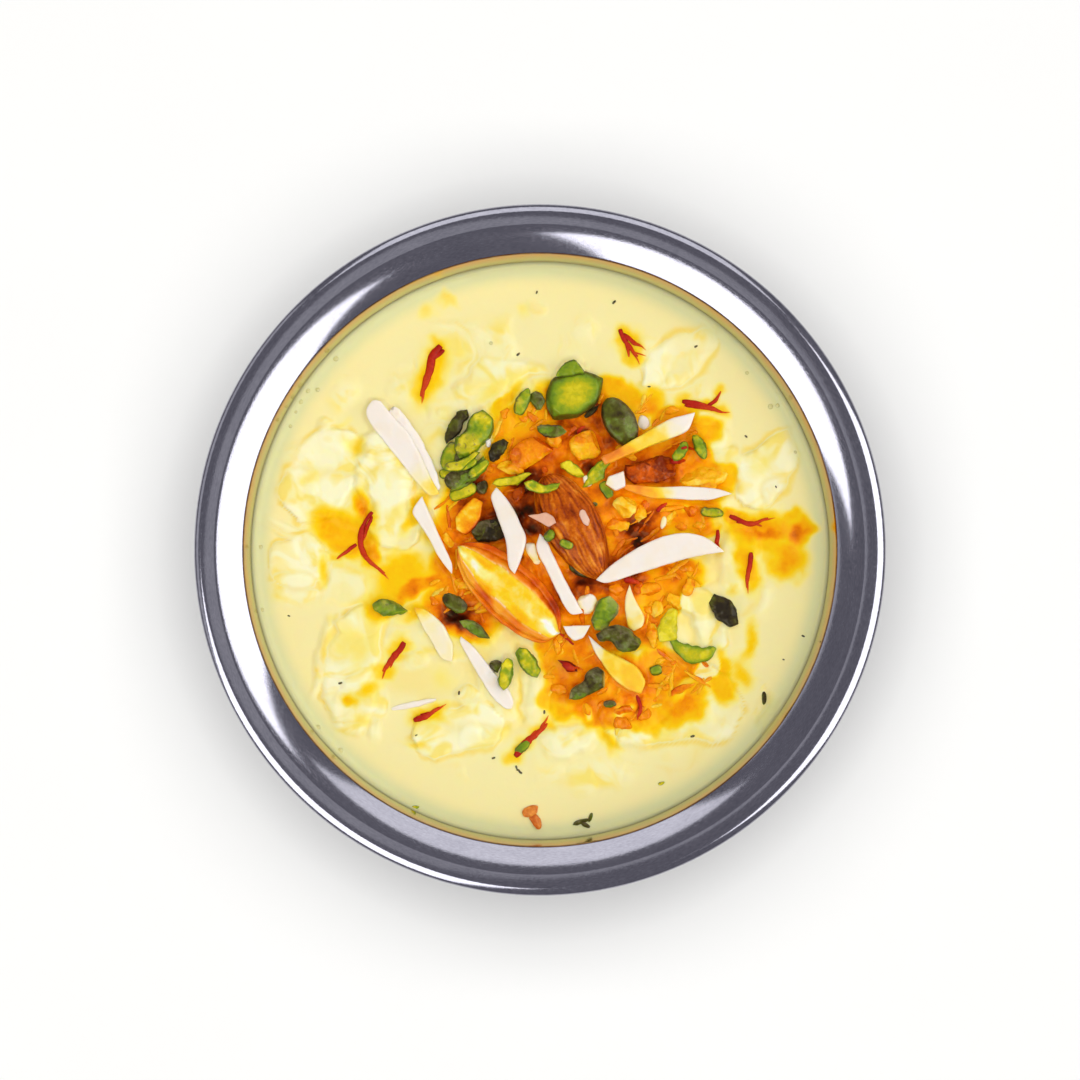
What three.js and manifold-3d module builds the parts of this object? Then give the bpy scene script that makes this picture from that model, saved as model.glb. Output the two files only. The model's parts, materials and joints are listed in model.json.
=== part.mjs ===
import * as THREE from 'three';
import { mergeVertices } from 'three/addons/utils/BufferGeometryUtils.js';
import Module from 'manifold-3d';

// Rabdi in a flanged steel bowl: thickened sweet milk with floating flakes of malai, and on its middle a
// low pile of almonds, almond slivers, pistachio pieces and lumps soaked with saffron.
// Millimetres, +Z up. The origin is the middle of the flat foot.

// Bowl
const lipRadius = 62.5; // cut edge of the rolled rim
const crestRadius = 59.6; // highest ring of the rim
const neckRadius = 53.7; // where the rim turns down into the bowl
const fillRadius = 52.7; // inside of the wall where the milk meets it
const footRadius = 30; // flat floor
const bowlHeight = 56;
const sheet = 0.9; // thickness of the steel
const rollRadius = 4.4; // outer roll of the rim
const slopeRadius = 10; // easy slope from the crest in to the neck
const neckWidth = 0.4; // the bend between slope and wall
const neckDrop = 2.9; // the bend ends this far below the crest
const bowlSides = 40;
const floorSteps = 6;
const slopeSteps = 3;
const rollSteps = 2;

// Milk and what lies on it
const fillDepth = 11.5; // from the crest down to the milk
const fillLevel = bowlHeight - fillDepth;
const milkClimb = 0.5; // the milk creeps up the wall
const climbReach = 1.5;
const mound = { x: 8, y: 1, reach: 17, height: 1.7 }; // thicker malai under the nuts
const milkRings = 9;
const gap = 0.3; // between two pieces that touch
const liftStep = 0.15; // a piece is raised by this until it lies clear
const straightTurn = 0.5; // a straight piece is an arc of half a degree

const material = (color, roughness, metalness = 0) =>
  new THREE.MeshStandardMaterial({ color, roughness, metalness });
const steel = material(0x9a9aa2, 0.22, 1);
const milk = material(0xf0e2a6, 0.35);
const malai = material(0xfdeeab, 0.5);
const soaked = material(0xf09a1c, 0.5);
const skinBrown = material(0xa8552a, 0.5);
const splitNut = material(0xffc93a, 0.4);
const nutWhite = material(0xfbecdc, 0.5);
const nutYellow = material(0xf6c24a, 0.5);
const nutPink = material(0xe9b698, 0.6);
const green = material(0x7c9a2c, 0.45);
const darkGreen = material(0x2f4220, 0.45);
const lime = material(0xb4c31e, 0.45);
const redBrown = material(0x9c3a12, 0.45);

// Each form's section corners, steps along it, squareness of its section, usual thickness and colour
const nut = { sides: 12, steps: 10, square: 2, thick: 7, color: skinBrown };
const sliver = { sides: 6, steps: 8, square: 4, thick: 1.3, color: nutWhite };
const chip = { sides: 6, steps: 6, square: 2.6, thick: 1.9, color: green };
const lump = { sides: 6, steps: 6, square: 2.6, thick: 3, color: soaked };
const flake = { sides: 6, steps: 6, square: 3, thick: 2.6, rise: -0.5, color: malai };

// A piece: at is its middle in plan, heading the way it points in degrees from +X, and more can hold its
// outline (ends and bend, as in kernelGeometry), its rise (middle over milk), pitch, roll, thick and color.
const piece = (kind, name, at, length, width, heading, more = {}) =>
  ({ ...kind, name, at, length, width, heading, ...more });

// Laid first, in hollows of the milk
const sunkPieces = [
  piece(flake, 'malai_flake_left', [-39.5, 14], 19, 12, 58, { ends: [0.3, 0.4] }),
  piece(flake, 'malai_flake_inner', [-28, 9], 20, 10, -72, { ends: [0.3, 0.3] }),
  piece(flake, 'malai_flake_side', [-44, -2], 11, 9.5, 32, { ends: [0.4, 0.3] }),
  piece(flake, 'malai_flake_long', [-34.5, -20], 21, 10, 72, { ends: [0.5, 0.4] }),
  piece(flake, 'malai_flake_front', [-15.5, -33], 17, 8.5, 9, { ends: [0.15, 0.15] }),
  piece(flake, 'malai_flake_broad', [23.5, -29.5], 27, 12.5, 5, { ends: [0.35, 0.12] }),
  piece(flake, 'malai_flake_back', [25.5, 35], 16, 8, 36, { ends: [0.4, 0.4] }),
  piece(flake, 'malai_flake_right', [41.5, 15], 15.5, 9.5, 62, { ends: [0.4, 0.5] }),
  piece(lump, 'malai_fold_soaked', [-1.5, 18], 9, 5, 27, { ends: [0.4, 0.5], rise: 0.5 }),
  piece(lump, 'malai_fold_yellow', [30, 13.3], 9, 4, 9, { ends: [0.4, 0.4], rise: 0.2, color: nutYellow }),
  piece(nut, 'almond_whole', [6.1, 4.2], 21.5, 10.5, -61, { ends: [0.5, 0.62], rise: 0.1 }),
  piece(nut, 'almond_split', [-5.8, -7.4], 24.5, 11, -39,
    { ends: [0.55, 0.48], roll: 8, faceHeight: 0.4, rise: 1.2, color: splitNut }),
  piece(chip, 'pistachio_half', [6.5, 28.4], 10, 8.3, 13, { ends: [0.4, 0.3], thick: 4.4, rise: 0.4 }),
  piece(chip, 'pistachio_half_dark', [14.6, 23.5], 9.8, 6, -62, { thick: 4.2, rise: 0.5, color: darkGreen }),
  piece(chip, 'pistachio_half_under', [-8.6, 3.6], 7.5, 4.2, 17, { rise: 0.2, color: darkGreen }),
  piece(lump, 'soaked_chunk', [8.5, 19.2], 6.2, 5.3, 28, { ends: [0.3, 0.3], rise: 1 }),
  piece(lump, 'soaked_nut', [20.5, 14.9], 10.2, 6, 6, { ends: [0.4, 0.4], rise: 0.6, color: redBrown }),
  piece(chip, 'amber_wedge', [-12.8, 6.2], 6.8, 4.8, 36, { ends: [0.5, 0.4], rise: 0.9, color: nutYellow }),
  piece(chip, 'ribbed_chunk', [15.4, 7.8], 4.5, 4.2, 9, { ends: [0.3, 0.3], rise: 0.8, color: nutYellow }),
];

// Laid on the milk and on each other, in this order
const laidPieces = [
  piece(sliver, 'sliver_back_left', [-25, 18.5], 21, 5, -55, { ends: [0.5, 0.3], bend: 10 }),
  piece(sliver, 'sliver_left', [-19.5, 2.4], 15, 3.1, -63, { ends: [0.15, 0.8] }),
  piece(sliver, 'sliver_low_left', [-18.9, -15], 12, 3.6, -59, { ends: [0.8, 0.4] }),
  piece(sliver, 'sliver_front_left', [-9.9, -22.4], 16, 3.5, -56, { ends: [0.6, 0.35], bend: 8 }),
  piece(sliver, 'sliver_right', [25, 10.4], 20, 2.9, -4, { ends: [0.5, 0.9] }),
  piece(sliver, 'sliver_back_right', [20.2, 19.9], 19, 3.7, 28,
    { ends: [0.6, 0.6], thick: 2, color: nutYellow }),
  piece(sliver, 'sliver_wedge', [13.8, -20.7], 14.2, 4.8, -44,
    { ends: [0.6, 0.5], thick: 1.5, color: nutYellow }),
  piece(sliver, 'sliver_short', [17, -10.5], 8.4, 3.6, -79, { ends: [0.9, 0.3] }),
  piece(sliver, 'sliver_nib', [6.7, -15.2], 4.9, 2.9, 0, { ends: [0.2, 0.2] }),
  piece(sliver, 'sliver_stub', [13.8, 12.4], 3.7, 3.2, 12, { ends: [0.2, 0.2], thick: 1.8 }),
  piece(chip, 'pistachio_cap', [5.5, 33.2], 5.5, 3.2, 4),
  piece(chip, 'pistachio_foot', [-3.2, 27.2], 5.4, 2.6, 66, { ends: [0.3, 0.5] }),
  piece(chip, 'pistachio_cup', [2.3, 22], 5.7, 2.5, -4, { bend: -60 }),
  piece(chip, 'pistachio_lobe', [-12.2, 21], 9, 4.6, -116, { thick: 3.4 }),
  piece(chip, 'pistachio_skin', [-15.6, 22.6], 7, 2.2, -116, { color: darkGreen }),
  piece(chip, 'pistachio_strip', [-13.6, 16], 5.8, 1.8, 24, { color: lime }),
  piece(chip, 'pistachio_strip_dark', [-13, 13.4], 9, 2.2, 38, { color: darkGreen }),
  piece(chip, 'pistachio_dark', [-7.8, 18.4], 4.8, 2.9, 40, { color: darkGreen }),
  piece(chip, 'pistachio_slice', [-5.1, 12.8], 7.4, 2.2, 10, { ends: [0.2, 0.6], thick: 1.4, color: lime }),
  piece(chip, 'pistachio_curl', [0.4, 12], 6.6, 2.2, 0, { bend: -90, thick: 1.2, color: lime }),
  piece(chip, 'pistachio_bright', [6, 14.9], 4.9, 2.6, -20, { thick: 1.4, color: lime }),
  piece(chip, 'pistachio_boot', [10.1, 14], 6.2, 2.4, -134, { bend: 50, thick: 1.4, color: lime }),
  piece(chip, 'pistachio_bean_a', [25.6, 18], 4.2, 2.2, 56),
  piece(chip, 'pistachio_bean_b', [29.2, 18.9], 4.9, 2.2, -63, { bend: 30 }),
  piece(chip, 'pistachio_black', [33.6, -11], 7, 4, -60, { ends: [0.3, 0.35], color: darkGreen }),
  piece(chip, 'pistachio_smile', [27.9, -18.3], 8.3, 2.4, -5,
    { ends: [0.4, 0.4], bend: -95, thick: 1.6, color: lime }),
  piece(chip, 'pistachio_lime', [23.5, -13.7], 6.2, 3.6, -90, { bend: -40, thick: 1.6, color: lime }),
  piece(chip, 'pistachio_leaf', [11.8, -11.6], 6.4, 4, 70),
  piece(chip, 'pistachio_knob', [14.4, -15.9], 8.4, 4.8, -17, { thick: 2.4, color: darkGreen }),
  piece(chip, 'pistachio_olive', [8.7, -24.4], 8.4, 4.4, 22, { thick: 2.4, color: darkGreen }),
  piece(chip, 'red_fruit_bit', [5, -21.2], 4.2, 2.2, -23, { color: redBrown }),
  piece(chip, 'pistachio_low_left', [-27.4, -10.5], 6.6, 3.2, -5),
  piece(chip, 'pistachio_under', [-11.9, -14.4], 6.4, 2.7, -20, { color: darkGreen }),
  piece(chip, 'pistachio_front_a', [-6.3, -22.6], 6, 2.6, -104, { color: lime }),
  piece(chip, 'pistachio_front_b', [-2.2, -20.6], 6.4, 3.2, -52),
  piece(sliver, 'sliver_middle', [-5.4, 3.7], 16.2, 4.8, -77, { ends: [0.6, 0.6], bend: 10, pitch: 8 }),
  piece(sliver, 'sliver_thin', [3, -4.7], 16.4, 2.7, -63, { ends: [0.3, 0.5] }),
  piece(sliver, 'sliver_large', [21.6, -1.8], 23.8, 5.5, 14, { ends: [0.75, 0.55], bend: 50 }),
  piece(sliver, 'almond_flake_pink', [0.4, 5.6], 5.2, 2.8, -10, { ends: [0.5, 0.3], color: nutPink }),
];

const wasm = await Module();
wasm.setup();

const taper = (s, [a, b]) => s ** a * (1 - s) ** b;
const rounded = (value, square) => Math.sign(value) * Math.abs(value) ** (2 / square);

// Closed surface over rows of equal length that follow each other between two end points.
function closedSurface(startPoint, rows, endPoint) {
  const count = rows[0].length;
  const points = [startPoint, ...rows.flat(), endPoint];
  const faces = [];
  for (let side = 0; side < count; side++) {
    const next = (side + 1) % count;
    const lastRow = 1 + (rows.length - 1) * count;
    faces.push(0, 1 + next, 1 + side);
    faces.push(points.length - 1, lastRow + side, lastRow + next);
    for (let row = 0; row + 1 < rows.length; row++) {
      const a = 1 + row * count + side;
      const b = 1 + row * count + next;
      faces.push(a, b, b + count);
      faces.push(a, b + count, a + count);
    }
  }
  const geometry = new THREE.BufferGeometry();
  geometry.setAttribute('position', new THREE.Float32BufferAttribute(points.flat(), 3));
  geometry.setIndex(faces);
  geometry.computeVertexNormals();
  return geometry;
}

// Nut, sliver, chip or flake: a rounded section carried along a flat arc that turns by bend degrees and
// bulges to the left of its heading. Its half width goes as s^a (1 - s)^b with ends = [a, b]: about 0.2
// ends square, 0.5 round and 1 in a point. faceHeight cuts the top flat, as on a split nut.
function kernelGeometry(form, grow = 0) {
  const { sides, steps, square, ends = [0.5, 0.5], bend = 0, faceHeight = 1 } = form;
  const halfWidth = form.width / 2 + grow;
  const halfThick = form.thick / 2 + grow;
  const turn = THREE.MathUtils.degToRad(bend || straightTurn);
  const arcRadius = (form.length / 2 + grow) / Math.sin(turn / 2);
  const sag = arcRadius * (1 - Math.cos(turn / 2));
  const widest = taper(ends[0] / (ends[0] + ends[1]), ends);
  const onArc = (s, across, up) => {
    const angle = turn * (s - 0.5);
    const reach = arcRadius + across;
    return [reach * Math.sin(angle), reach * Math.cos(angle) - arcRadius + sag / 2, up];
  };
  const rows = [];
  for (let step = 1; step < steps; step++) {
    const s = (1 - Math.cos((Math.PI * step) / steps)) / 2;
    const share = taper(s, ends) / widest;
    const row = [];
    for (let side = 0; side < sides; side++) {
      const angle = (2 * Math.PI * side) / sides;
      const across = halfWidth * share * rounded(Math.cos(angle), square);
      const up = halfThick * Math.sqrt(share) * rounded(Math.sin(angle), square);
      row.push(onArc(s, across, Math.min(up, faceHeight * halfThick)));
    }
    rows.push(row);
  }
  return closedSurface(onArc(0, 0, 0), rows, onArc(1, 0, 0));
}

// Solid for joining and cutting, from a geometry and its place.
function solidOf(geometry, place) {
  const moved = geometry.clone().applyMatrix4(place);
  moved.deleteAttribute('normal');
  moved.deleteAttribute('uv');
  const merged = mergeVertices(moved, 1e-4);
  return new wasm.Manifold(new wasm.Mesh({
    numProp: 3,
    vertProperties: merged.attributes.position.array,
    triVerts: new Uint32Array(merged.index.array),
  }));
}

function geometryOf(solid) {
  const { vertProperties, triVerts } = solid.getMesh();
  const geometry = new THREE.BufferGeometry();
  geometry.setAttribute('position', new THREE.BufferAttribute(vertProperties, 3));
  geometry.setIndex(new THREE.BufferAttribute(triVerts, 1));
  geometry.computeVertexNormals();
  return geometry;
}

// Points at equal shares, 0 to 1, of a stretch.
const stretch = (count, at) => Array.from({ length: count + 1 }, (unused, index) => at(index / count));

// Inside of the bowl from the middle of its floor out to the lip, as [radius, height] pairs.
function bowlSkin() {
  const floor = stretch(floorSteps, (share) => [
    footRadius + (fillRadius - footRadius) * Math.sin(share * Math.PI / 2),
    fillLevel - (fillLevel - sheet) * Math.cos(share * Math.PI / 2),
  ]);
  const neckAngle = Math.asin((crestRadius - neckRadius - neckWidth) / slopeRadius);
  const slope = stretch(slopeSteps, (share) => [
    crestRadius - slopeRadius * Math.sin(neckAngle * (1 - share)),
    bowlHeight - slopeRadius * (1 - Math.cos(neckAngle * (1 - share))),
  ]);
  const lipAngle = Math.asin((lipRadius - crestRadius) / rollRadius);
  const roll = stretch(rollSteps, (share) => [
    crestRadius + rollRadius * Math.sin(lipAngle * share),
    bowlHeight - rollRadius * (1 - Math.cos(lipAngle * share)),
  ]);
  return [[0, sheet], ...floor, [neckRadius, bowlHeight - neckDrop], ...slope, ...roll.slice(1)];
}

// The same line moved square to itself: outwards and down where distance is above 0.
function offsetLine(line, distance) {
  return line.map(([radius, height], index) => {
    const before = line[Math.max(index - 1, 0)];
    const after = line[Math.min(index + 1, line.length - 1)];
    const span = Math.hypot(after[0] - before[0], after[1] - before[1]);
    const moved = radius + (distance * (after[1] - before[1])) / span;
    return [index === 0 ? 0 : moved, height - (distance * (after[0] - before[0])) / span];
  });
}

function bowlGeometry() {
  const inside = bowlSkin();
  const outside = offsetLine(inside, sheet);
  const [floorMiddle, floorEdge] = outside;
  floorMiddle[1] = 0;
  floorEdge[1] = 0;
  const profile = [...outside, ...inside.reverse()].map((point) => new THREE.Vector2(...point));
  return new THREE.LatheGeometry(profile, bowlSides).rotateX(Math.PI / 2);
}

// Level milk with a low mound in its middle, creeping up the wall.
function milkHeight(x, y) {
  const swell = Math.exp(-((x - mound.x) ** 2 + (y - mound.y) ** 2) / mound.reach ** 2);
  const climb = Math.exp((Math.hypot(x, y) - fillRadius) / climbReach);
  return fillLevel + mound.height * swell + milkClimb * climb;
}

// Milk from the floor of the bowl up to its surface, a gap off the steel.
function milkGeometry() {
  const ring = (radius, heightAt) => Array.from({ length: bowlSides }, (unused, side) => {
    const angle = (2 * Math.PI * side) / bowlSides;
    const x = radius * Math.cos(angle);
    const y = radius * Math.sin(angle);
    return [x, y, heightAt(x, y)];
  });
  const rim = fillRadius - gap;
  const wallTop = fillLevel - 1;
  const lining = offsetLine(bowlSkin(), -gap).filter(([radius, height]) => radius > 0 && height < wallTop);
  const wall = [...lining, [rim, wallTop]].map(([radius, height]) => ring(radius, () => height));
  const top = stretch(milkRings - 1, (share) => ring(rim * (1 - share * (1 - 1 / milkRings)), milkHeight));
  return closedSurface([0, 0, sheet + gap], [...wall, ...top], [0, 0, milkHeight(0, 0)]);
}

function place({ at, heading, pitch = 0, roll = 0 }, height) {
  const turned = new THREE.Euler(...[roll, -pitch, heading].map(THREE.MathUtils.degToRad), 'ZYX');
  return new THREE.Matrix4().makeRotationFromEuler(turned).setPosition(at[0], at[1], height);
}

// Lowest height at or over the wished one at which a piece keeps its gap to all the others.
function clearHeight(form, wished, others) {
  const grown = solidOf(kernelGeometry(form, gap), place(form, wished));
  const touches = others.some((other) => !grown.intersect(other).isEmpty());
  return touches ? clearHeight(form, wished + liftStep, others) : wished;
}

const rabdi = new THREE.Group();
const laid = [];

function addMesh(name, geometry, color, placed = new THREE.Matrix4()) {
  const mesh = new THREE.Mesh(geometry, color);
  mesh.name = name;
  mesh.applyMatrix4(placed);
  rabdi.add(mesh);
}

function layPiece(form, wished, others) {
  const placed = place(form, clearHeight(form, wished, others));
  laid.push(solidOf(kernelGeometry(form), placed));
  addMesh(form.name, kernelGeometry(form), form.color, placed);
  return placed;
}

addMesh('bowl', bowlGeometry(), steel);

let milkBody = solidOf(milkGeometry(), new THREE.Matrix4());
for (const form of sunkPieces) {
  const placed = layPiece(form, milkHeight(...form.at) + form.rise, laid);
  milkBody = milkBody.subtract(solidOf(kernelGeometry(form, gap), placed));
}
addMesh('rabdi', geometryOf(milkBody), milk);

for (const form of laidPieces) {
  layPiece(form, milkHeight(...form.at) + form.thick / 2, [milkBody, ...laid]);
}

export default rabdi;
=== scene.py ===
import json
import math
import bpy
import numpy as np
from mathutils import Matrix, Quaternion, Vector

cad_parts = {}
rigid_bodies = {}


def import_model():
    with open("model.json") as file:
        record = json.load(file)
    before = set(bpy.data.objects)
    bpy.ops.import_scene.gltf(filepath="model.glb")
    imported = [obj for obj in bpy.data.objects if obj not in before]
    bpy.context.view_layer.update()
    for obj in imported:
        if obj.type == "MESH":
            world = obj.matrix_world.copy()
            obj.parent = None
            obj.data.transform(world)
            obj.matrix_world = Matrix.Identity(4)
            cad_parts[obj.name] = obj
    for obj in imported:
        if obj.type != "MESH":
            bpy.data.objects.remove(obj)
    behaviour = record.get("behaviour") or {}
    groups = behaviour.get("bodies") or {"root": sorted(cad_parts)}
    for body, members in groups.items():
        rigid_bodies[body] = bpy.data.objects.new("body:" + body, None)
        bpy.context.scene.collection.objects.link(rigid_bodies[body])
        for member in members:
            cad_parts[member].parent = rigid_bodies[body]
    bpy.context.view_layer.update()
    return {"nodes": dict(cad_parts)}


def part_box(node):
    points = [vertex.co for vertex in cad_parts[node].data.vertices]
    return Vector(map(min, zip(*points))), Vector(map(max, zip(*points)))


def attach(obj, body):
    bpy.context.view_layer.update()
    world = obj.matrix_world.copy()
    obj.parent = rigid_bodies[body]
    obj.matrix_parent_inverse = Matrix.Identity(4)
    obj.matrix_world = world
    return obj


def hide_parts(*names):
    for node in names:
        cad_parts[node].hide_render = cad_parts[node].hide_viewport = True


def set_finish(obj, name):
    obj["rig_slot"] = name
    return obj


# Rabdi in a flanged steel bowl: milk with malai and saffron, under almonds, slivers and pistachio
# Everything is worked out in millimetres and written to the meshes in metres

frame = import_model()
mm = 0.001
print("frame loaded:", len(frame["nodes"]), "nodes")


def rgb(red, green, blue):
    # display colour 0 to 255 as linear light: ((c + 0.055) / 1.055)^2.4
    return tuple(((c / 255 + 0.055) / 1.055) ** 2.4 for c in (red, green, blue)) + (1.0,)


def smoothStep(low, high, value):
    # 3t² - 2t³ of t = (value - low) / (high - low), held between 0 and 1
    t = np.clip((value - low) / (high - low), 0, 1)
    return t * t * (3 - 2 * t)


# large odd factors that mix the bits of whole numbers
mixing = {"axes": (374761393, 668265263, 2246822519), "seed": 1013904223, "last": 1274126177}


def latticeValue(cell, seed):
    # number from -1 to 1 at whole-number points, from a mixed integer
    x, y, z = (cell[..., axis].astype(np.int64).astype(np.uint32) * np.uint32(factor)
               for axis, factor in enumerate(mixing["axes"]))
    mixed = x + y + z + np.uint32(seed * mixing["seed"] % 2 ** 32)
    mixed = (mixed ^ (mixed >> np.uint32(13))) * np.uint32(mixing["last"])
    mixed = mixed ^ (mixed >> np.uint32(16))
    return mixed / (2 ** 31 - 0.5) - 1


def noise(points, size, seed, octaves=2):
    # mean of n(p) weighed 1, 1/2, 1/4 and so on, where n blends the lattice by t³(6t² - 15t + 10), and p is
    # points / size at first, then 2.03 p + 17.7 each time
    finer, shift = 2.03, 17.7  # not whole, so that the lattices of two octaves don't line up
    total, strength, weightSum = 0, 1.0, 0.0
    place = points / size
    for octave in range(octaves):
        cell = np.floor(place)
        t = place - cell
        fade = t ** 3 * (t * (t * 6 - 15) + 10)
        for corner in np.ndindex(2, 2, 2):
            weight = np.prod(np.where(corner, fade, 1 - fade), axis=-1)
            total = total + strength * weight * latticeValue(cell + corner, seed + octave)
        weightSum += strength
        strength /= 2
        place = place * finer + shift
    return total / weightSum


def flatPoints(x, y):
    # points (x, y, 0)
    return np.stack([x, y, np.zeros_like(x)], axis=-1)


def ringQuads(rows, columns):
    # quads between neighbouring rows of a grid whose columns close on themselves
    index = np.arange(rows * columns).reshape(rows, columns)
    right = np.roll(index, -1, axis=1)
    return np.stack([index[:-1], right[:-1], right[1:], index[1:]], axis=-1).reshape(-1, 4)


def closedTube(rings, start, end):
    # rings (stations, sides, 3) with a fan to a point at each end
    stations, sides = rings.shape[:2]
    points = np.concatenate([rings.reshape(-1, 3), [start, end]])
    side = np.arange(sides)
    after = np.roll(side, -1)
    last = (stations - 1) * sides
    first = np.stack([np.full(sides, stations * sides), after, side], axis=1)
    final = np.stack([np.full(sides, stations * sides + 1), last + side, last + after], axis=1)
    return points, ringQuads(stations, sides), np.concatenate([first, final])


def joinShapes(shapes):
    # several (points, quads, triangles) as one
    points, quads, triangles, count = [], [], [], 0
    for shapePoints, shapeQuads, shapeTriangles in shapes:
        points.append(shapePoints)
        quads.append(shapeQuads + count)
        triangles.append(shapeTriangles + count)
        count += len(shapePoints)
    return np.concatenate(points), np.concatenate(quads), np.concatenate(triangles)


def addPiece(name, shape, material, slot, nodes=(), paint=None):
    # mesh from arrays, smooth, with one value a vertex for each name in paint
    points, quads, triangles = shape
    mesh = bpy.data.meshes.new(name)
    mesh.vertices.add(len(points))
    mesh.vertices.foreach_set("co", (points * mm).astype(np.float32).ravel())
    corners = np.concatenate([quads.ravel(), triangles.ravel()]).astype(np.int32)
    mesh.loops.add(len(corners))
    mesh.loops.foreach_set("vertex_index", corners)
    starts = np.concatenate([np.arange(len(quads)) * 4, len(quads) * 4 + np.arange(len(triangles)) * 3])
    mesh.polygons.add(len(starts))
    mesh.polygons.foreach_set("loop_start", starts.astype(np.int32))
    mesh.polygons.foreach_set("use_smooth", np.ones(len(starts), bool))
    for key, values in (paint or {}).items():
        layer = mesh.attributes.new(key, "FLOAT", "POINT")
        layer.data.foreach_set("value", np.asarray(values, np.float32).ravel())
    mesh.update(calc_edges=True)
    mesh.materials.append(material)
    piece = bpy.data.objects.new(name, mesh)
    bpy.context.scene.collection.objects.link(piece)
    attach(piece, "root")
    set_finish(piece, slot)
    if nodes:
        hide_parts(*nodes)
    return piece


def newMaterial(name):
    # material, a function that adds a node and joins its inputs, and one that feeds the principled shader
    material = bpy.data.materials.new(name)
    material.use_nodes = True
    tree = material.node_tree

    def make(kind, inputs=None, **settings):
        made = tree.nodes.new("ShaderNode" + kind)
        for key, value in settings.items():
            setattr(made, key, value)
        feed(made, inputs or {})
        return made

    def feed(made, inputs):
        for key, value in inputs.items():
            if isinstance(value, bpy.types.NodeSocket):
                tree.links.new(value, made.inputs[key])
            else:
                made.inputs[key].default_value = value

    def shade(**inputs):
        feed(tree.nodes["Principled BSDF"], {key.replace("_", " "): value for key, value in inputs.items()})

    return material, make, shade


def attribute(make, name):
    return make("Attribute", attribute_name=name).outputs["Fac"]


def calc(make, operation, first, second=0.0):
    return make("Math", {0: first, 1: second}, operation=operation).outputs[0]


def uneven(make, value, pattern, amount):
    # value + (pattern - 0.5) amount
    return calc(make, "ADD", value, calc(make, "MULTIPLY", calc(make, "SUBTRACT", pattern, 0.5), amount))


def blend(make, share, first, second):
    # share of the first value and the rest of the second
    rest = calc(make, "MULTIPLY", second, 1 - share)
    return calc(make, "ADD", calc(make, "MULTIPLY", first, share), rest)


def remap(make, value, fromLow, fromHigh, toLow, toHigh):
    # from one range to the other in a straight line, and held there
    inputs = {"Value": value, "From Min": fromLow, "From Max": fromHigh, "To Min": toLow, "To Max": toHigh}
    return make("MapRange", inputs).outputs["Result"]


def mixColour(make, share, first, second):
    return make("Mix", {0: share, 6: first, 7: second}, data_type="RGBA").outputs[2]


def ramp(make, value, stops):
    # display colours at places from 0 to 1
    made = make("ValToRGB", {"Fac": value})
    elements = made.color_ramp.elements
    while len(elements) < len(stops):
        elements.new(1.0)
    for element, (place, colour) in zip(elements, stops):
        element.position = place
        element.color = rgb(*colour)
    return made.outputs["Color"]


def grain(make, size, detail=3.0, distortion=0.0):
    # noise 0 to 1 on object coordinates, with features of about size mm
    place = make("TexCoord").outputs["Object"]
    inputs = {"Vector": place, "Scale": 1 / (size * mm), "Detail": detail, "Distortion": distortion}
    return make("TexNoise", inputs).outputs[0]


def placeOf(make):
    # x, y and z of a point, and its distance from the bowl's axis
    x, y, z = make("SeparateXYZ", {0: make("TexCoord").outputs["Object"]}).outputs
    squares = calc(make, "ADD", calc(make, "MULTIPLY", x, x), calc(make, "MULTIPLY", y, y))
    return x, y, z, calc(make, "SQRT", squares)


def bump(make, height, depth):
    # normal from a height 0 to 1 that stands for depth mm
    return make("Bump", {"Height": height, "Strength": 1.0, "Distance": depth * mm}).outputs["Normal"]


# from milk without saffron to dark syrup; the darkest end also paints shade in the hollows between the nuts
saffronStops = [
    (0.0, (247, 234, 168)), (0.12, (253, 233, 112)), (0.26, (255, 208, 12)), (0.40, (252, 170, 0)),
    (0.54, (238, 130, 0)), (0.68, (198, 84, 0)), (0.80, (134, 44, 2)), (0.90, (76, 20, 4)),
    (1.0, (34, 12, 5)),
]


def saffronTint(make, base, amount):
    # base colour going over to the saffron scale as amount rises from 0
    return mixColour(make, remap(make, amount, 0.02, 0.2, 0, 1), base, ramp(make, amount, saffronStops))


# in the looks below gloss is the tint of the shine, and wet the weight of the clear coat over it


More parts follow.
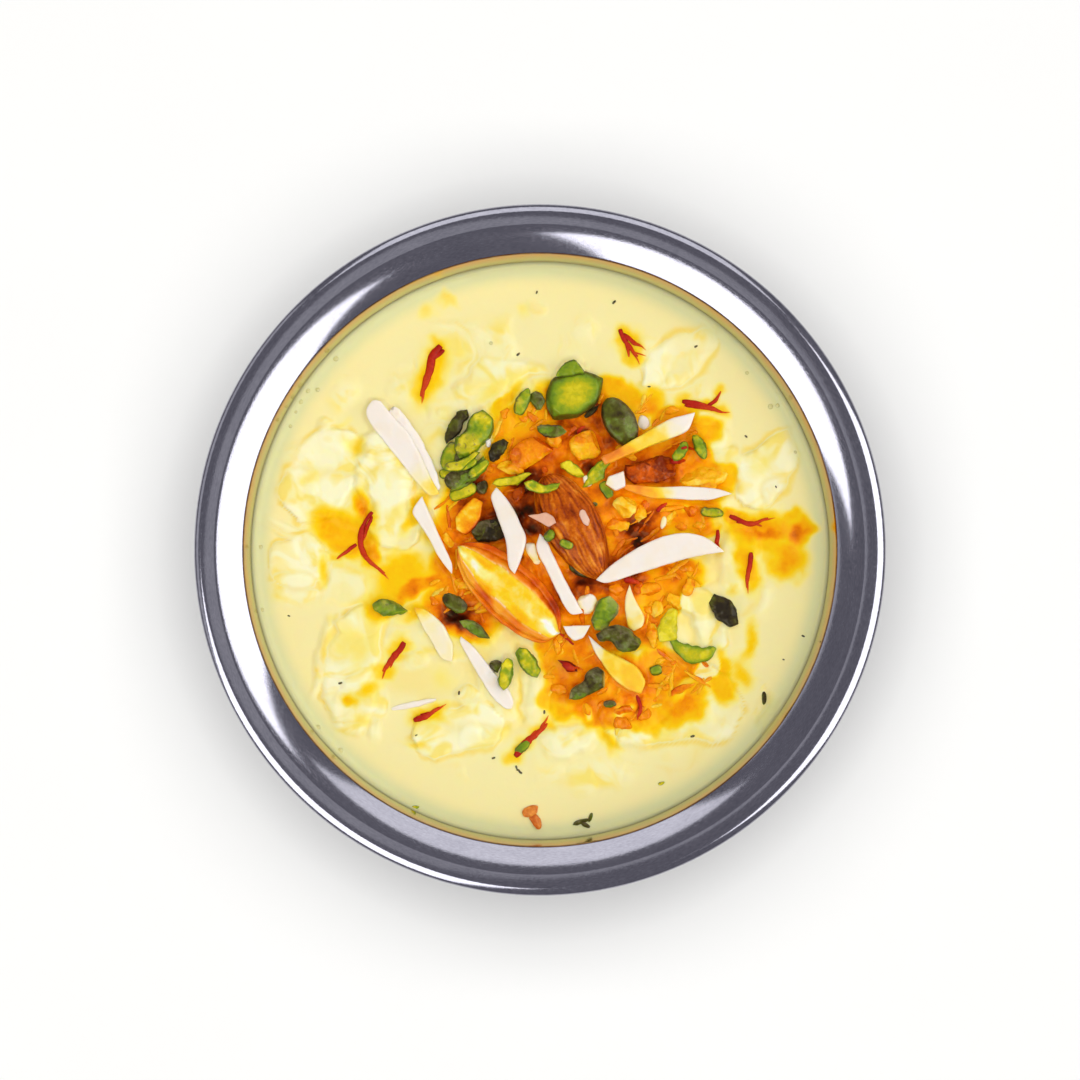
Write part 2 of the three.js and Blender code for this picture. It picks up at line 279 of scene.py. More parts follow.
def steelMaterial():
    # brushed round the bowl and finely pitted, with a film of milk on the wall and a dark line at the bend
    look = {
        "colour": (174, 173, 183), "worn": (156, 155, 166), "roughness": (0.05, 0.17),
        "scratch": 0.22,  # mm across a brush line or a pit
        "film": (206, 190, 110), "filmTop": (222, 146, 58),
        "browned": (50.0, 54.0),  # the film goes over to its top colour between these heights
        "mark": (132, 112, 40), "markHeight": 48.2, "line": (104, 66, 56),
    }
    material, make, shade = newMaterial("brushedSteel")
    x, y, z, radius = placeOf(make)
    turn = calc(make, "ARCTAN2", y, x)
    across = calc(make, "MULTIPLY", calc(make, "ADD", radius, z), 1 / (look["scratch"] * mm))

    def swept(fineness, turns, detail, distortion=0.0):
        # noise drawn out round the bowl
        columns = {0: calc(make, "MULTIPLY", across, fineness), 1: calc(make, "MULTIPLY", turn, turns)}
        inputs = {"Scale": 1.0, "Detail": detail, "Distortion": distortion}
        return make("TexNoise", {"Vector": make("CombineXYZ", columns).outputs[0], **inputs}).outputs[0]

    lines, blotches = swept(1.0, 60.0, 3.0), swept(0.1, 9.0, 5.0, 0.6)
    rough = blend(make, 0.35, lines, grain(make, look["scratch"], 3.0))
    worn = blend(make, 0.4, blotches, lines)
    colour = mixColour(make, remap(make, worn, 0.35, 0.65, 0, 1), rgb(*look["worn"]), rgb(*look["colour"]))
    height = calc(make, "ADD", z, calc(make, "MULTIPLY", grain(make, 7.0, 2.0), 2.0 * mm))
    low, high = look["browned"]
    filmShare = remap(make, height, low * mm, high * mm, 0, 1)
    filmColour = mixColour(make, filmShare, rgb(*look["film"]), rgb(*look["filmTop"]))
    apart = calc(make, "ABSOLUTE", calc(make, "SUBTRACT", height, look["markHeight"] * mm))
    markShare = remap(make, apart, 0.3 * mm, 1.0 * mm, 0.7, 0.0)
    filmColour = mixColour(make, markShare, filmColour, rgb(*look["mark"]))
    filmWaver = remap(make, grain(make, 3.0), 0.2, 0.6, 0.75, 1.0)
    colour = mixColour(make, calc(make, "MULTIPLY", attribute(make, "film"), filmWaver), colour, filmColour)
    lineWaver = remap(make, grain(make, 2.2), 0.3, 0.6, 0.6, 1.0)
    edge = calc(make, "MULTIPLY", attribute(make, "line"), lineWaver)
    shade(Base_Color=mixColour(make, edge, colour, rgb(*look["line"])), Metallic=1.0,
          Roughness=remap(make, rough, 0.35, 0.65, *look["roughness"]), Normal=bump(make, rough, 0.006))
    return material


def milkMaterial():
    # cream, yellow in its creases (partly painted shade) and pale where it is curdled, greener by the wall,
    # with saffron over all
    # by the wall it is also darker, as painted shade of the wall, with a painted contact shadow where it
    # meets the steel
    look = {
        "milk": (248, 236, 172), "malai": (255, 249, 204), "crease": (247, 220, 104),
        "butter": (252, 226, 96), "rim": (222, 226, 176), "contactShadow": (156, 152, 100),
        "scatter": 0.7, "gloss": (1.0, 0.8, 0.35, 1),
        "roughness": (0.32, 0.14),  # of plain milk and of syrup
    }
    material, make, shade = newMaterial("saffronMilk")
    curd, stain, wall = attribute(make, "curd"), attribute(make, "stain"), attribute(make, "wall")
    fine, wide = grain(make, 1.0, 4.0, distortion=0.6), grain(make, 6.0, 2.0, distortion=0.8)
    # the crease colour is the milk's own yellow and painted shade in the creases, the hollows and round the
    # flakes
    cream = mixColour(make, remap(make, curd, 0.0, 0.35, 0, 1), rgb(*look["crease"]), rgb(*look["milk"]))
    cream = mixColour(make, remap(make, curd, 0.4, 0.9, 0, 1), cream, rgb(*look["malai"]))
    curdled = remap(make, curd, 0.36, 0.55, 0.0, 1)
    yellow = calc(make, "MULTIPLY", remap(make, wide, 0.44, 0.62, 0, 0.8), curdled)
    cream = mixColour(make, yellow, cream, rgb(*look["butter"]))
    # rim: greener by the wall, and darker there as painted shade of the wall
    cream = mixColour(make, remap(make, wall, 0.0, 0.7, 0, 0.75), cream, rgb(*look["rim"]))
    # painted contact shadow in a thin line where the milk meets the steel
    cream = mixColour(make, remap(make, wall, 0.985, 1.0, 0, 0.8), cream, rgb(*look["contactShadow"]))
    amount = uneven(make, stain, fine, remap(make, stain, 0.2, 0.5, 0.02, 0.24))
    wet = remap(make, stain, 0.25, 0.6, *look["roughness"])
    shade(Base_Color=saffronTint(make, cream, amount),
          Roughness=calc(make, "ADD", wet, calc(make, "MULTIPLY", fine, 0.12)),
          Subsurface_Weight=0.5, Subsurface_Radius=(1.0, 0.75, 0.3), Subsurface_Scale=look["scatter"] * mm,
          Specular_IOR_Level=0.22, Specular_Tint=look["gloss"],
          Normal=bump(make, grain(make, 0.9, 5.0, distortion=0.4), 0.045))
    return material


def skinMaterial():
    # brown almond skin, dark in the grooves and pale on the ridges, pinker where it blushes
    look = {
        "brown": [(0.0, (84, 20, 0)), (0.3, (154, 56, 0)), (0.6, (204, 96, 0)), (1.0, (248, 160, 40))],
        "pink": [(0.0, (150, 44, 20)), (0.5, (206, 104, 66)), (1.0, (232, 160, 132))],
        "wet": 0.14, "gloss": (1.0, 0.7, 0.35, 1),
    }
    material, make, shade = newMaterial("almondSkin")
    fine = grain(make, 0.45, 4.0)
    tone = uneven(make, attribute(make, "tone"), fine, 0.5)
    pink = remap(make, attribute(make, "blush"), 0.0, 1.0, 0.0, 0.6)
    colour = mixColour(make, pink, ramp(make, tone, look["brown"]), ramp(make, tone, look["pink"]))
    shade(Base_Color=saffronTint(make, colour, attribute(make, "soak")), Roughness=0.34,
          Coat_Weight=look["wet"], Coat_Roughness=0.12, Specular_IOR_Level=0.1, Specular_Tint=look["gloss"],
          Subsurface_Weight=0.15, Subsurface_Radius=(1.0, 0.4, 0.2), Subsurface_Scale=0.5 * mm,
          Normal=bump(make, fine, 0.08))
    return material


def splitMaterial():
    # inside of a split almond soaked with saffron, with its skin round it
    # the near-white first stops of inner make the painted highlights on the cut face
    look = {
        "inner": [(0.0, (255, 252, 236)), (0.22, (255, 242, 150)), (0.5, (255, 210, 30)),
                  (0.75, (254, 172, 0)), (1.0, (232, 116, 0))],
        "skin": [(0.0, (248, 166, 36)), (0.35, (236, 120, 4)), (0.7, (198, 64, 0)), (1.0, (110, 18, 4))],
        "wet": 0.16, "gloss": (1.0, 0.75, 0.3, 1),
    }
    material, make, shade = newMaterial("splitAlmond")
    fine = grain(make, 1.2, 4.0, distortion=0.8)
    tone = uneven(make, attribute(make, "tone"), fine, 0.22)
    inner, skin = ramp(make, tone, look["inner"]), ramp(make, tone, look["skin"])
    shade(Base_Color=mixColour(make, attribute(make, "skin"), inner, skin), Roughness=0.3,
          Coat_Weight=look["wet"], Coat_Roughness=0.05,
          Specular_IOR_Level=0.12, Specular_Tint=look["gloss"],
          Subsurface_Weight=0.35, Subsurface_Radius=(1.0, 0.6, 0.2), Subsurface_Scale=1.0 * mm,
          Normal=bump(make, fine, 0.12))
    return material


def nutMaterial():
    # pale cut almond, creamier at its edges, or pink
    look = {"face": (246, 236, 222), "edge": (244, 220, 170), "pink": (226, 168, 132)}
    material, make, shade = newMaterial("cutAlmond")
    fine = grain(make, 0.8, 4.0)
    edge = remap(make, attribute(make, "tone"), 0.0, 1.0, 0.0, 1.0)  # the tone, held between 0 and 1
    colour = mixColour(make, edge, rgb(*look["face"]), rgb(*look["edge"]))
    colour = mixColour(make, attribute(make, "blush"), colour, rgb(*look["pink"]))
    shade(Base_Color=saffronTint(make, colour, attribute(make, "soak")), Roughness=0.42,
          Subsurface_Weight=0.4, Subsurface_Radius=(1.0, 0.8, 0.5), Subsurface_Scale=0.6 * mm,
          Normal=bump(make, fine, 0.05))
    return material


def pistachioMaterial():
    # green kernel from nearly black to yellow, with flecks and patches of its brown and mauve skin
    look = {
        "kernel": [(0.0, (30, 22, 18)), (0.14, (54, 44, 18)), (0.32, (86, 90, 20)), (0.50, (104, 136, 26)),
                   (0.68, (148, 166, 24)), (0.84, (206, 192, 18)), (1.0, (238, 222, 40))],
        "skin": [(0.3, (62, 46, 38)), (0.5, (104, 88, 66)), (0.7, (138, 116, 108))],
        "wet": 0.2, "gloss": (1.0, 0.9, 0.4, 1),
    }
    material, make, shade = newMaterial("pistachio")
    fine = grain(make, 0.7, 5.0, distortion=0.5)
    colour = ramp(make, uneven(make, attribute(make, "tone"), fine, 0.26), look["kernel"])
    patches = attribute(make, "skin")
    flecks = remap(make, grain(make, 1.1, 5.0, distortion=0.8), 0.54, 0.62, 0.0, 0.6)
    flecks = calc(make, "MULTIPLY", flecks, remap(make, patches, 0.0, 0.12, 0.0, 1.0))
    colour = mixColour(make, calc(make, "MAXIMUM", patches, flecks), colour, ramp(make, fine, look["skin"]))
    shade(Base_Color=saffronTint(make, colour, attribute(make, "soak")), Roughness=0.35,
          Coat_Weight=look["wet"], Coat_Roughness=0.06, Specular_IOR_Level=0.2, Specular_Tint=look["gloss"],
          Subsurface_Weight=0.15, Subsurface_Radius=(0.6, 1.0, 0.2), Subsurface_Scale=0.4 * mm,
          Normal=bump(make, fine, 0.16))
    return material


def soakedMaterial():
    # malai soaked through with saffron syrup
    look = {
        "syrup": [(0.0, (255, 226, 96)), (0.25, (255, 192, 20)), (0.5, (248, 146, 4)),
                  (0.75, (218, 92, 2)), (1.0, (128, 36, 4))],
        "wet": 0.18, "gloss": (1.0, 0.7, 0.25, 1),
    }
    material, make, shade = newMaterial("soakedMalai")
    fine = grain(make, 0.9, 5.0, distortion=1.0)
    tone = uneven(make, attribute(make, "tone"), fine, 0.4)
    shade(Base_Color=ramp(make, tone, look["syrup"]), Roughness=0.26,
          Coat_Weight=look["wet"], Coat_Roughness=0.06,
          Specular_IOR_Level=0.25, Specular_Tint=look["gloss"],
          Subsurface_Weight=0.3, Subsurface_Radius=(1.0, 0.45, 0.12), Subsurface_Scale=0.8 * mm,
          Normal=bump(make, fine, 0.15))
    return material


def threadMaterial():
    # saffron threads, orange at their thin ends
    look = {"red": [(0.0, (112, 10, 0)), (0.4, (186, 28, 0)), (0.75, (224, 78, 0)), (1.0, (250, 160, 14))]}
    material, make, shade = newMaterial("saffronThread")
    tone = calc(make, "ADD", attribute(make, "tone"), calc(make, "MULTIPLY", grain(make, 0.5, 3.0), 0.4))
    shade(Base_Color=ramp(make, tone, look["red"]), Roughness=0.5, Specular_IOR_Level=0.15)
    return material


def speckMaterial():
    # ground cardamom, mottled brown and green
    look = {"husk": [(0.3, (34, 28, 18)), (0.6, (92, 84, 40)), (0.8, (130, 88, 50))]}
    material, make, shade = newMaterial("cardamomSpeck")
    shade(Base_Color=ramp(make, grain(make, 0.4, 2.0), look["husk"]), Roughness=0.6)
    return material


def bubbleMaterial():
    look = {"film": (236, 226, 158), "edge": (206, 204, 140)}
    material, make, shade = newMaterial("milkBubble")
    colour = mixColour(make, grain(make, 0.5, 2.0), rgb(*look["film"]), rgb(*look["edge"]))
    shade(Base_Color=colour, Roughness=0.1, Coat_Weight=0.5, Coat_Roughness=0.03)
    return material


materials = {
    "steel": steelMaterial(), "milk": milkMaterial(), "skin": skinMaterial(), "split": splitMaterial(),
    "nut": nutMaterial(), "pistachio": pistachioMaterial(), "soaked": soakedMaterial(),
    "thread": threadMaterial(), "speck": speckMaterial(), "bubble": bubbleMaterial(),
}
print("materials made:", len(materials))


bowl = {
    "sheet": 0.9,  # thickness of the steel
    "footRadius": 30.0,
    "wallSlope": 83.4,  # degrees from level where the milk stands
    # the rim's outline outwards from the wall: length in mm of each stretch, and the slope it turns to
    "rim": [(0.6, 34.0), (4.95, 16.0), (0.5, 3.0), (1.85, -5.0), (1.8, -46.0)],
    "step": 0.12,  # between the points of the rim
    "points": {"floor": 10, "curve": 48, "wall": 14, "lip": 9},  # of each part of the section
    "sides": 288,
    # from the bend: the film on the wall is whole up to the first height and gone at the second; the middle
    # of the dark line lies at the first height, and from there it is whole to the second, gone at the last
    "filmEdge": (-0.2, 0.3),
    "bendLine": (0.12, 0.1, 0.28),
}


def bowlProfile():
    # inside line of the bowl from the middle of its floor to its lip, as (radius, height): level, then a
    # quarter of an ellipse up to the milk, a straight wall and the rim, whose slope changes evenly along
    # each stretch, so that its points are the running sum of (cos, sin) step
    low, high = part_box("bowl")
    lipRadius, crest = (high.x - low.x) / 2 / mm, high.z / mm
    lengths = np.cumsum([0] + [length for length, slope in bowl["rim"]])
    slopes = [bowl["wallSlope"]] + [slope for length, slope in bowl["rim"]]
    walk = np.arange(0, lengths[-1], bowl["step"])
    slope = np.radians(np.interp(walk, lengths, slopes))
    rim = np.cumsum(np.stack([np.cos(slope), np.sin(slope)], axis=1) * bowl["step"], axis=0)
    halfSheet = bowl["sheet"] / 2
    rim += [lipRadius - halfSheet * abs(math.sin(slope[-1])) - rim[-1, 0], crest - rim[:, 1].max()]
    wallRadius = rim[0, 0] - (rim[0, 1] - milkLevel) / math.tan(math.radians(bowl["wallSlope"]))
    points = bowl["points"]
    turn = np.linspace(0, math.pi / 2, points["curve"])
    floor = np.stack([
        bowl["footRadius"] + (wallRadius - bowl["footRadius"]) * np.sin(turn),
        milkLevel - (milkLevel - bowl["sheet"]) * np.cos(turn)], axis=1)
    centre = np.stack([np.linspace(1, bowl["footRadius"] - 1, points["floor"]),
                       np.full(points["floor"], bowl["sheet"])], axis=1)
    wall = floor[-1] + (rim[0] - floor[-1]) * np.linspace(0, 1, points["wall"])[1:-1, None]
    return np.concatenate([centre, floor, wall, rim])


def profileNormal(line):
    # unit vector square to the line, to its right
    step = np.gradient(line, axis=0)
    step /= np.linalg.norm(step, axis=1, keepdims=True)
    return np.stack([step[:, 1], -step[:, 0]], axis=1)


def makeBowl(line):
    # the inside line, a half round lip and the line moved out by the sheet, carried round the axis
    outside = line + profileNormal(line) * bowl["sheet"]
    outside[line[:, 0] < bowl["footRadius"] + 0.5, 1] = 0
    outside[:, 1] = np.maximum(outside[:, 1], 0)
    middle = (line[-1] + outside[-1]) / 2
    across = (outside[-1] - line[-1]) / 2
    forward = np.array([-across[1], across[0]])
    turn = np.linspace(0, math.pi, bowl["points"]["lip"])[1:-1, None]
    lip = middle + across * np.cos(turn) + forward * np.sin(turn)
    profile = np.concatenate([outside, lip, line[::-1]])
    angle = np.linspace(0, 2 * math.pi, bowl["sides"], endpoint=False)
    radius, height = profile[:, :1], profile[:, 1:]
    rings = np.stack([radius * np.cos(angle), radius * np.sin(angle), height + 0 * angle], axis=-1)
    shape = closedTube(rings, (0, 0, 0), (0, 0, bowl["sheet"]))
    rimLength = sum(length for length, slope in bowl["rim"])
    neck = line[len(line) - round(rimLength / bowl["step"]), 1]  # height of the bend, where the rim starts
    inner = (np.arange(len(profile)) >= len(outside))[:, None]
    whole, gone = bowl["filmEdge"]
    wall = smoothStep(neck + gone, neck + whole, height) * inner
    rise, whole, gone = bowl["bendLine"]
    bend = smoothStep(gone, whole, np.abs(height - neck - rise)) * inner
    paint = {"film": spread(wall + 0 * angle), "line": spread(bend + 0 * angle)}
    addPiece("steel_bowl", shape, materials["steel"], "steel", ["bowl"], paint)


def measureNode(name, count=32):
    # long axis, and along it the middle and half size of the section: the mesh's edges cut by planes
    # the long axis points to the right, and up is the steeper of the other two
    mesh = frame["nodes"][name].data
    points = np.empty(len(mesh.vertices) * 3, np.float32)
    mesh.vertices.foreach_get("co", points)
    points = points.reshape(-1, 3).astype(float) / mm
    edges = np.empty(len(mesh.edges) * 2, np.int32)
    mesh.edges.foreach_get("vertices", edges)
    axes = np.linalg.eigh(np.cov((points - points.mean(0)).T))[1]
    ahead = axes[:, 2]
    ahead = ahead * np.sign(ahead @ (1.0, -0.2, 0.0))
    up = axes[:, int(abs(axes[2, 1]) > abs(axes[2, 0]))]
    up = up * np.sign(up[2])
    turn = np.stack([ahead, np.cross(up, ahead), up])
    middle = (points.min(0) + points.max(0)) / 2
    first, second = (((points - middle) @ turn.T)[edges.reshape(-1, 2)]).transpose(1, 0, 2)
    ends = np.concatenate([first[:, 0], second[:, 0]])
    reach = np.array([ends.min(), ends.max()])
    share = (1 - np.cos(math.pi * np.arange(1, count) / count)) / 2
    place = reach[0] + (reach[1] - reach[0]) * share
    span = second[:, 0] - first[:, 0]
    cut = (place[:, None] - first[:, 0]) / np.where(abs(span) < 1e-6, np.inf, span)
    inside = (cut > 0) & (cut < 1)
    low, high = [], []
    for axis in (1, 2):
        hit = first[:, axis] + (second[:, axis] - first[:, axis]) * cut
        low.append(np.where(inside, hit, np.inf).min(axis=1))
        high.append(np.where(inside, hit, -np.inf).max(axis=1))
    low, high = np.array(low), np.array(high)
    return {"middle": middle, "turn": turn, "reach": reach, "place": place, "centre": (low + high) / 2,
            "half": (high - low) / 2}


def laidBody(at, length, width, thick, heading, ends, bend, count):
    # the same measures for a small piece without a node: its half width goes as s^a (1 - s)^b, and its
    # middle along an arc of bend degrees
    angle = math.radians(heading)
    ahead = (math.cos(angle), math.sin(angle), 0)
    turn = np.array([ahead, (-ahead[1], ahead[0], 0), (0, 0, 1)])
    share = (1 - np.cos(math.pi * np.arange(1, count) / count)) / 2
    shape = share ** ends[0] * (1 - share) ** ends[1]
    shape = shape / shape.max()
    sag = length / 2 * math.tan(math.radians(bend) / 4)
    centre = np.stack([sag * (1 - (2 * share - 1) ** 2) - sag / 2, 0 * share])
    half = np.stack([width / 2 * shape, thick / 2 * np.sqrt(shape)])
    return {"middle": np.array(at, float), "turn": turn, "reach": np.array([-length / 2, length / 2]),
            "place": length * (share - 0.5), "centre": centre, "half": half}


def outlined(body, corners, blunt, count=56):
    # the same body with its sections between the two sides of a plan outline whose corners are rounded by
    # averaging, and thick right to its blunt tips: h' = H (h / H)^blunt with H its greatest half thickness
    corners = np.array(corners, float)
    start = corners[:, 0].argmin()
    corners = np.roll(corners, -start, axis=0)
    turning = corners[:, 0].argmax()
    first, last = corners[0, 0], corners[turning, 0]
    share = first + (last - first) * (1 - np.cos(math.pi * np.arange(1, count) / count)) / 2
    sides = []
    for side in (corners[:turning + 1], np.concatenate([corners[turning:], corners[:1]])[::-1]):
        sides.append(np.interp(share, np.maximum.accumulate(side[:, 0]), side[:, 1]))
    low, high = (body["centre"][0] - body["half"][0]).min(), (body["centre"][0] + body["half"][0]).max()
    sides = low + (np.array(sides) + 1) / 2 * (high - low)
    for smoothing in range(5):
        sides[:, 1:-1] = (sides[:, :-2] + 2 * sides[:, 1:-1] + sides[:, 2:]) / 4
    length = body["reach"][1] - body["reach"][0]
    measured = (body["place"] - body["reach"][0]) / length
    thick = np.interp(share, measured, body["half"][1])
    reach = body["reach"][0] + length * np.array([first, last])
    thick = thick.max() * (thick / thick.max()) ** blunt
    centre = np.stack([sides.mean(0), np.interp(share, measured, body["centre"][1])])
    half = np.stack([np.abs(sides[0] - sides[1]) / 2, thick])
    place = body["reach"][0] + length * share
    return {**body, "reach": reach, "place": place, "centre": centre, "half": half,
            "tips": half[:, [0, -1]] * 0.8}


def along(body, distance):
    # section middle (2 rows) and half size (2 rows) at distances along the long axis, smoothed
    place = np.concatenate([body["reach"][:1], body["place"], body["reach"][1:]])
    weights = np.array([1, 3, 4, 3, 1]) / 12
    tips = body.get("tips", np.zeros((2, 2)))

    def sample(values, ends):
        padded = np.concatenate([[ends[0]] * 3, values, [ends[1]] * 3])
        smoothed = np.convolve(padded, weights, mode="same")[3:-3]
        return np.interp(distance, place, np.concatenate([[ends[0]], smoothed, [ends[1]]]))

    centre = [sample(row, (row[0], row[-1])) for row in body["centre"]]
    half = [np.sqrt(np.maximum(sample(row ** 2, tip ** 2), 0)) for row, tip in zip(body["half"], tips)]
    return centre, half


# how the toppings are shaped: stations along and sides round, square the power of the section over and
# under its middle, rough the mm of noise with features of size mm, cuts the planes that break it, and
# waist how high its widest place is, as a share of the thickness
sliverForm = {"stations": 90, "sides": 48, "square": (5, 5), "rough": 0.14, "size": 2.2}
chipForm = {"stations": 52, "sides": 48, "square": (3, 3), "rough": 0.36, "size": 1.3, "cuts": 4,
            "cutDepth": (0.72, 0.95)}
lumpForm = {"stations": 70, "sides": 64, "square": (2.4, 2.4), "rough": 0.6, "size": 1.7, "cuts": 6}
nutForm = {"stations": 130, "sides": 150, "square": (2, 2), "rough": 0.12, "size": 2.5}

# plan outlines, corner by corner: share of the length from 0 to 1, and of the width from -1 (right) to
# 1 (left); a few reach a little past the solid
outlines = {
    "almond_split": [(0, 0.1), (0.04, 0.45), (0.14, 0.75), (0.35, 1), (0.65, 0.95), (0.9, 0.6), (1, 0),
                     (0.96, -0.6), (0.8, -0.95), (0.5, -1), (0.25, -0.8), (0.08, -0.4)],
    "sliver_back_left": [(0, 0.1), (0.03, 0.6), (0.2, 0.7), (0.45, 1), (0.7, 0.6), (1, 0.2), (0.97, -0.5),
                         (0.75, -0.7), (0.4, -0.9), (0.1, -1), (0.02, -0.6)],
    "sliver_left": [(0, 1), (0.4, 0.75), (0.9, 0.6), (1, 0), (0.8, -0.5), (0.45, -0.55), (0.1, -1)],
    "sliver_low_left": [(0, -0.7), (0.1, 0.2), (0.3, 0.75), (0.5, 1), (0.8, 0.8), (1, -0.2), (0.9, -1),
                        (0.3, -0.95)],
    "sliver_front_left": [(0, -0.1), (0.2, 0.45), (0.6, 0.75), (0.8, 1), (0.95, 0.7), (1, 0.1),
                          (0.97, -0.5), (0.75, -1), (0.25, -0.7), (0.03, -0.5)],
    "sliver_middle": [(0, -0.4), (0.15, 0.2), (0.4, 0.7), (0.65, 1), (0.85, 0.25), (1, -0.5), (0.92, -0.85),
                      (0.6, -0.6), (0.35, -0.8), (0.08, -1)],
    "sliver_thin": [(0, 0.6), (0.1, 1), (0.5, 0.8), (1, 0.9), (0.97, -0.6), (0.85, -1), (0.4, -0.8),
                    (0.12, -0.9)],
    "sliver_large": [(0, -0.6), (0.15, 0.1), (0.4, 0.75), (0.6, 1), (0.75, 0.9), (0.9, 0.3), (1, -0.85),
                     (0.75, -0.65), (0.4, -0.8), (0.07, -1)],
    "sliver_right": [(0, 0.7), (0.35, 0.6), (0.5, 0.9), (0.7, 1), (0.9, 0.85), (1, 0.4), (0.8, -0.6),
                     (0.6, -0.85), (0.45, -0.7), (0.3, -1), (0.02, 0)],
    "sliver_back_right": [(0, 0.85), (0.3, 0.9), (0.75, 1), (1, 0.4), (0.86, -1), (0.75, -0.8), (0.4, -0.4),
                          (0, 0)],
    "sliver_wedge": [(0, 0.1), (0.3, 0.2), (0.55, 0.7), (0.75, 1), (0.95, 0.6), (1, -0.3), (0.85, -0.8),
                     (0.6, -1), (0.2, -0.5)],
    "sliver_short": [(0, 0.1), (0.3, 0.3), (0.75, 1), (0.95, 0.6), (1, -0.4), (0.9, -0.9), (0.5, -0.9),
                     (0.2, -0.5)],
    "sliver_nib": [(0, 0.9), (1, 1), (0.75, -0.6), (0.4, -1), (0.15, -0.2)],
    "sliver_stub": [(0, 0), (0.2, 0.8), (1, 1), (0.95, -0.7), (0.4, -1)],
    "almond_flake_pink": [(0, 0.1), (0.3, 0.5), (0.55, 1), (0.9, 0.5), (1, -0.2), (0.8, -1), (0.35, -0.4)],
    "amber_wedge": [(0, -0.2), (0.15, 0.6), (0.5, 0.9), (0.9, 1), (1, 0.3), (0.75, -0.5), (0.45, -0.9),
                    (0.1, -1)],
    "pistachio_half": [(-0.06, -0.2), (-0.02, 0.4), (0.15, 1), (0.45, 1.1), (0.8, 0.95), (1.06, 0.45),
                       (1, 0), (0.85, -0.6), (0.5, -0.95), (0.15, -1.1), (0, -0.9)],
    "pistachio_cap": [(0, -0.9), (0.05, -0.3), (0.3, 0.6), (0.55, 1), (0.8, 0.9), (1, 0), (0.95, -0.7),
                      (0.5, -1)],
    "pistachio_lobe": [(-0.05, 0.2), (0.08, 0.9), (0.3, 1.2), (0.45, 0.7), (0.85, 0.9), (1.05, 0.2),
                       (1, -0.8), (0.75, -1.3), (0.4, -1.2), (0.05, -0.6)],
    "pistachio_skin": [(0, 0), (0.1, 0.8), (0.5, 1.2), (0.9, 0.8), (1.05, -0.6), (0.9, -1.6), (0.7, -1),
                       (0.5, -1.5), (0.2, -0.8)],
    "pistachio_strip": [(-0.2, 0.2), (-0.1, 1.4), (0.1, 1.2), (0.4, 0.6), (0.9, 1.2), (1.05, 0.6),
                        (0.6, -0.6), (0.2, -1.2)],
    "pistachio_strip_dark": [(0, 0), (0.3, 1.2), (0.7, 1), (1, 1.3), (0.95, 0), (0.6, -1.2), (0.2, -0.8)],
    "pistachio_dark": [(0, -0.5), (0.2, 0.7), (0.6, 1), (0.95, 0.7), (1, -0.2), (0.6, -0.9), (0.1, -1)],
    "pistachio_slice": [(0, 0), (0.1, 0.6), (0.5, 0.5), (0.9, 1), (1, 0.5), (0.85, -0.1), (0.6, -1),
                        (0.15, -0.8)],
    "pistachio_curl": [(0, 0.5), (0.25, 1), (0.45, 0.1), (0.75, 0.4), (1, 0.5), (0.9, -0.6), (0.5, -1),
                       (0.1, -0.6)],
    "pistachio_bright": [(0, 0.1), (0.25, 1), (0.65, 0.7), (1, -0.4), (0.85, -1), (0.35, -0.7),
                         (0.05, -0.4)],
    "pistachio_boot": [(-0.05, 0.2), (0.3, 1), (0.65, 1.2), (0.95, 1), (1.05, -0.2), (0.75, -0.5),
                       (0.6, -1.3), (0.4, -1.6), (0.3, -0.8), (0.1, -0.5)],
    "pistachio_black": [(0, 0), (0.35, 1), (0.75, 1), (1, 0.5), (0.98, -0.3), (0.6, -1), (0.15, -0.9)],
    "pistachio_smile": [(-0.02, 1.2), (0.05, 1.6), (0.25, 1.15), (0.5, 0.85), (0.75, 0.85), (0.96, 1.1),
                        (1.02, 0.8), (0.92, -0.5), (0.6, -1.3), (0.35, -1.1), (0.1, 0.2)],
    "pistachio_lime": [(0, 0.6), (0.05, 1), (0.95, 1), (1, -0.8), (0.6, -1), (0.25, -0.5), (0.02, 0.2)],
    "pistachio_leaf": [(-0.03, 0.3), (0.2, 1.1), (0.5, 1), (0.8, 1.1), (1.03, 0.1), (0.9, -1), (0.6, -1.2),
                       (0.3, -0.7), (0.05, -0.9)],
    "pistachio_knob": [(0, -0.3), (0.15, 0.3), (0.4, 1), (0.7, 0.8), (1, 0.2), (0.95, -0.5), (0.7, -1),
                       (0.5, -0.9), (0.35, -0.4), (0.1, -0.8)],
    "pistachio_olive": [(0, -0.6), (0.1, 0.1), (0.4, 0.2), (0.55, 1), (0.85, 1), (1, 0), (0.8, -0.8),
                        (0.25, -1)],
    "red_fruit_bit": [(0, 0.3), (0.4, 0.8), (0.85, 0.7), (1, -0.2), (0.65, -1), (0.35, -0.2)],
    "pistachio_under": [(0, 0.3), (0.3, 1), (0.65, 0.7), (1, -0.5), (0.7, -1), (0.3, -0.6)],
    "pistachio_low_left": [(0, 0.2), (0.25, 1), (0.6, 0.7), (1, -0.2), (0.8, -0.8), (0.35, -1),
                           (0.05, -0.4)],
    "pistachio_front_a": [(0, -0.3), (0.1, 0.4), (0.35, 0.9), (0.7, 0.9), (1, 0.3), (0.95, -0.6), (0.6, -1),
                          (0.15, -0.9)],
    "pistachio_front_b": [(0, 0.3), (0.15, 0.9), (0.6, 1), (0.9, 0.6), (1, -0.2), (0.8, -0.8), (0.4, -1),
                          (0.05, -0.6)],
}


def roundedPower(value, power):
    # |v|^power with the sign of v
    return np.sign(value) * np.abs(value) ** power


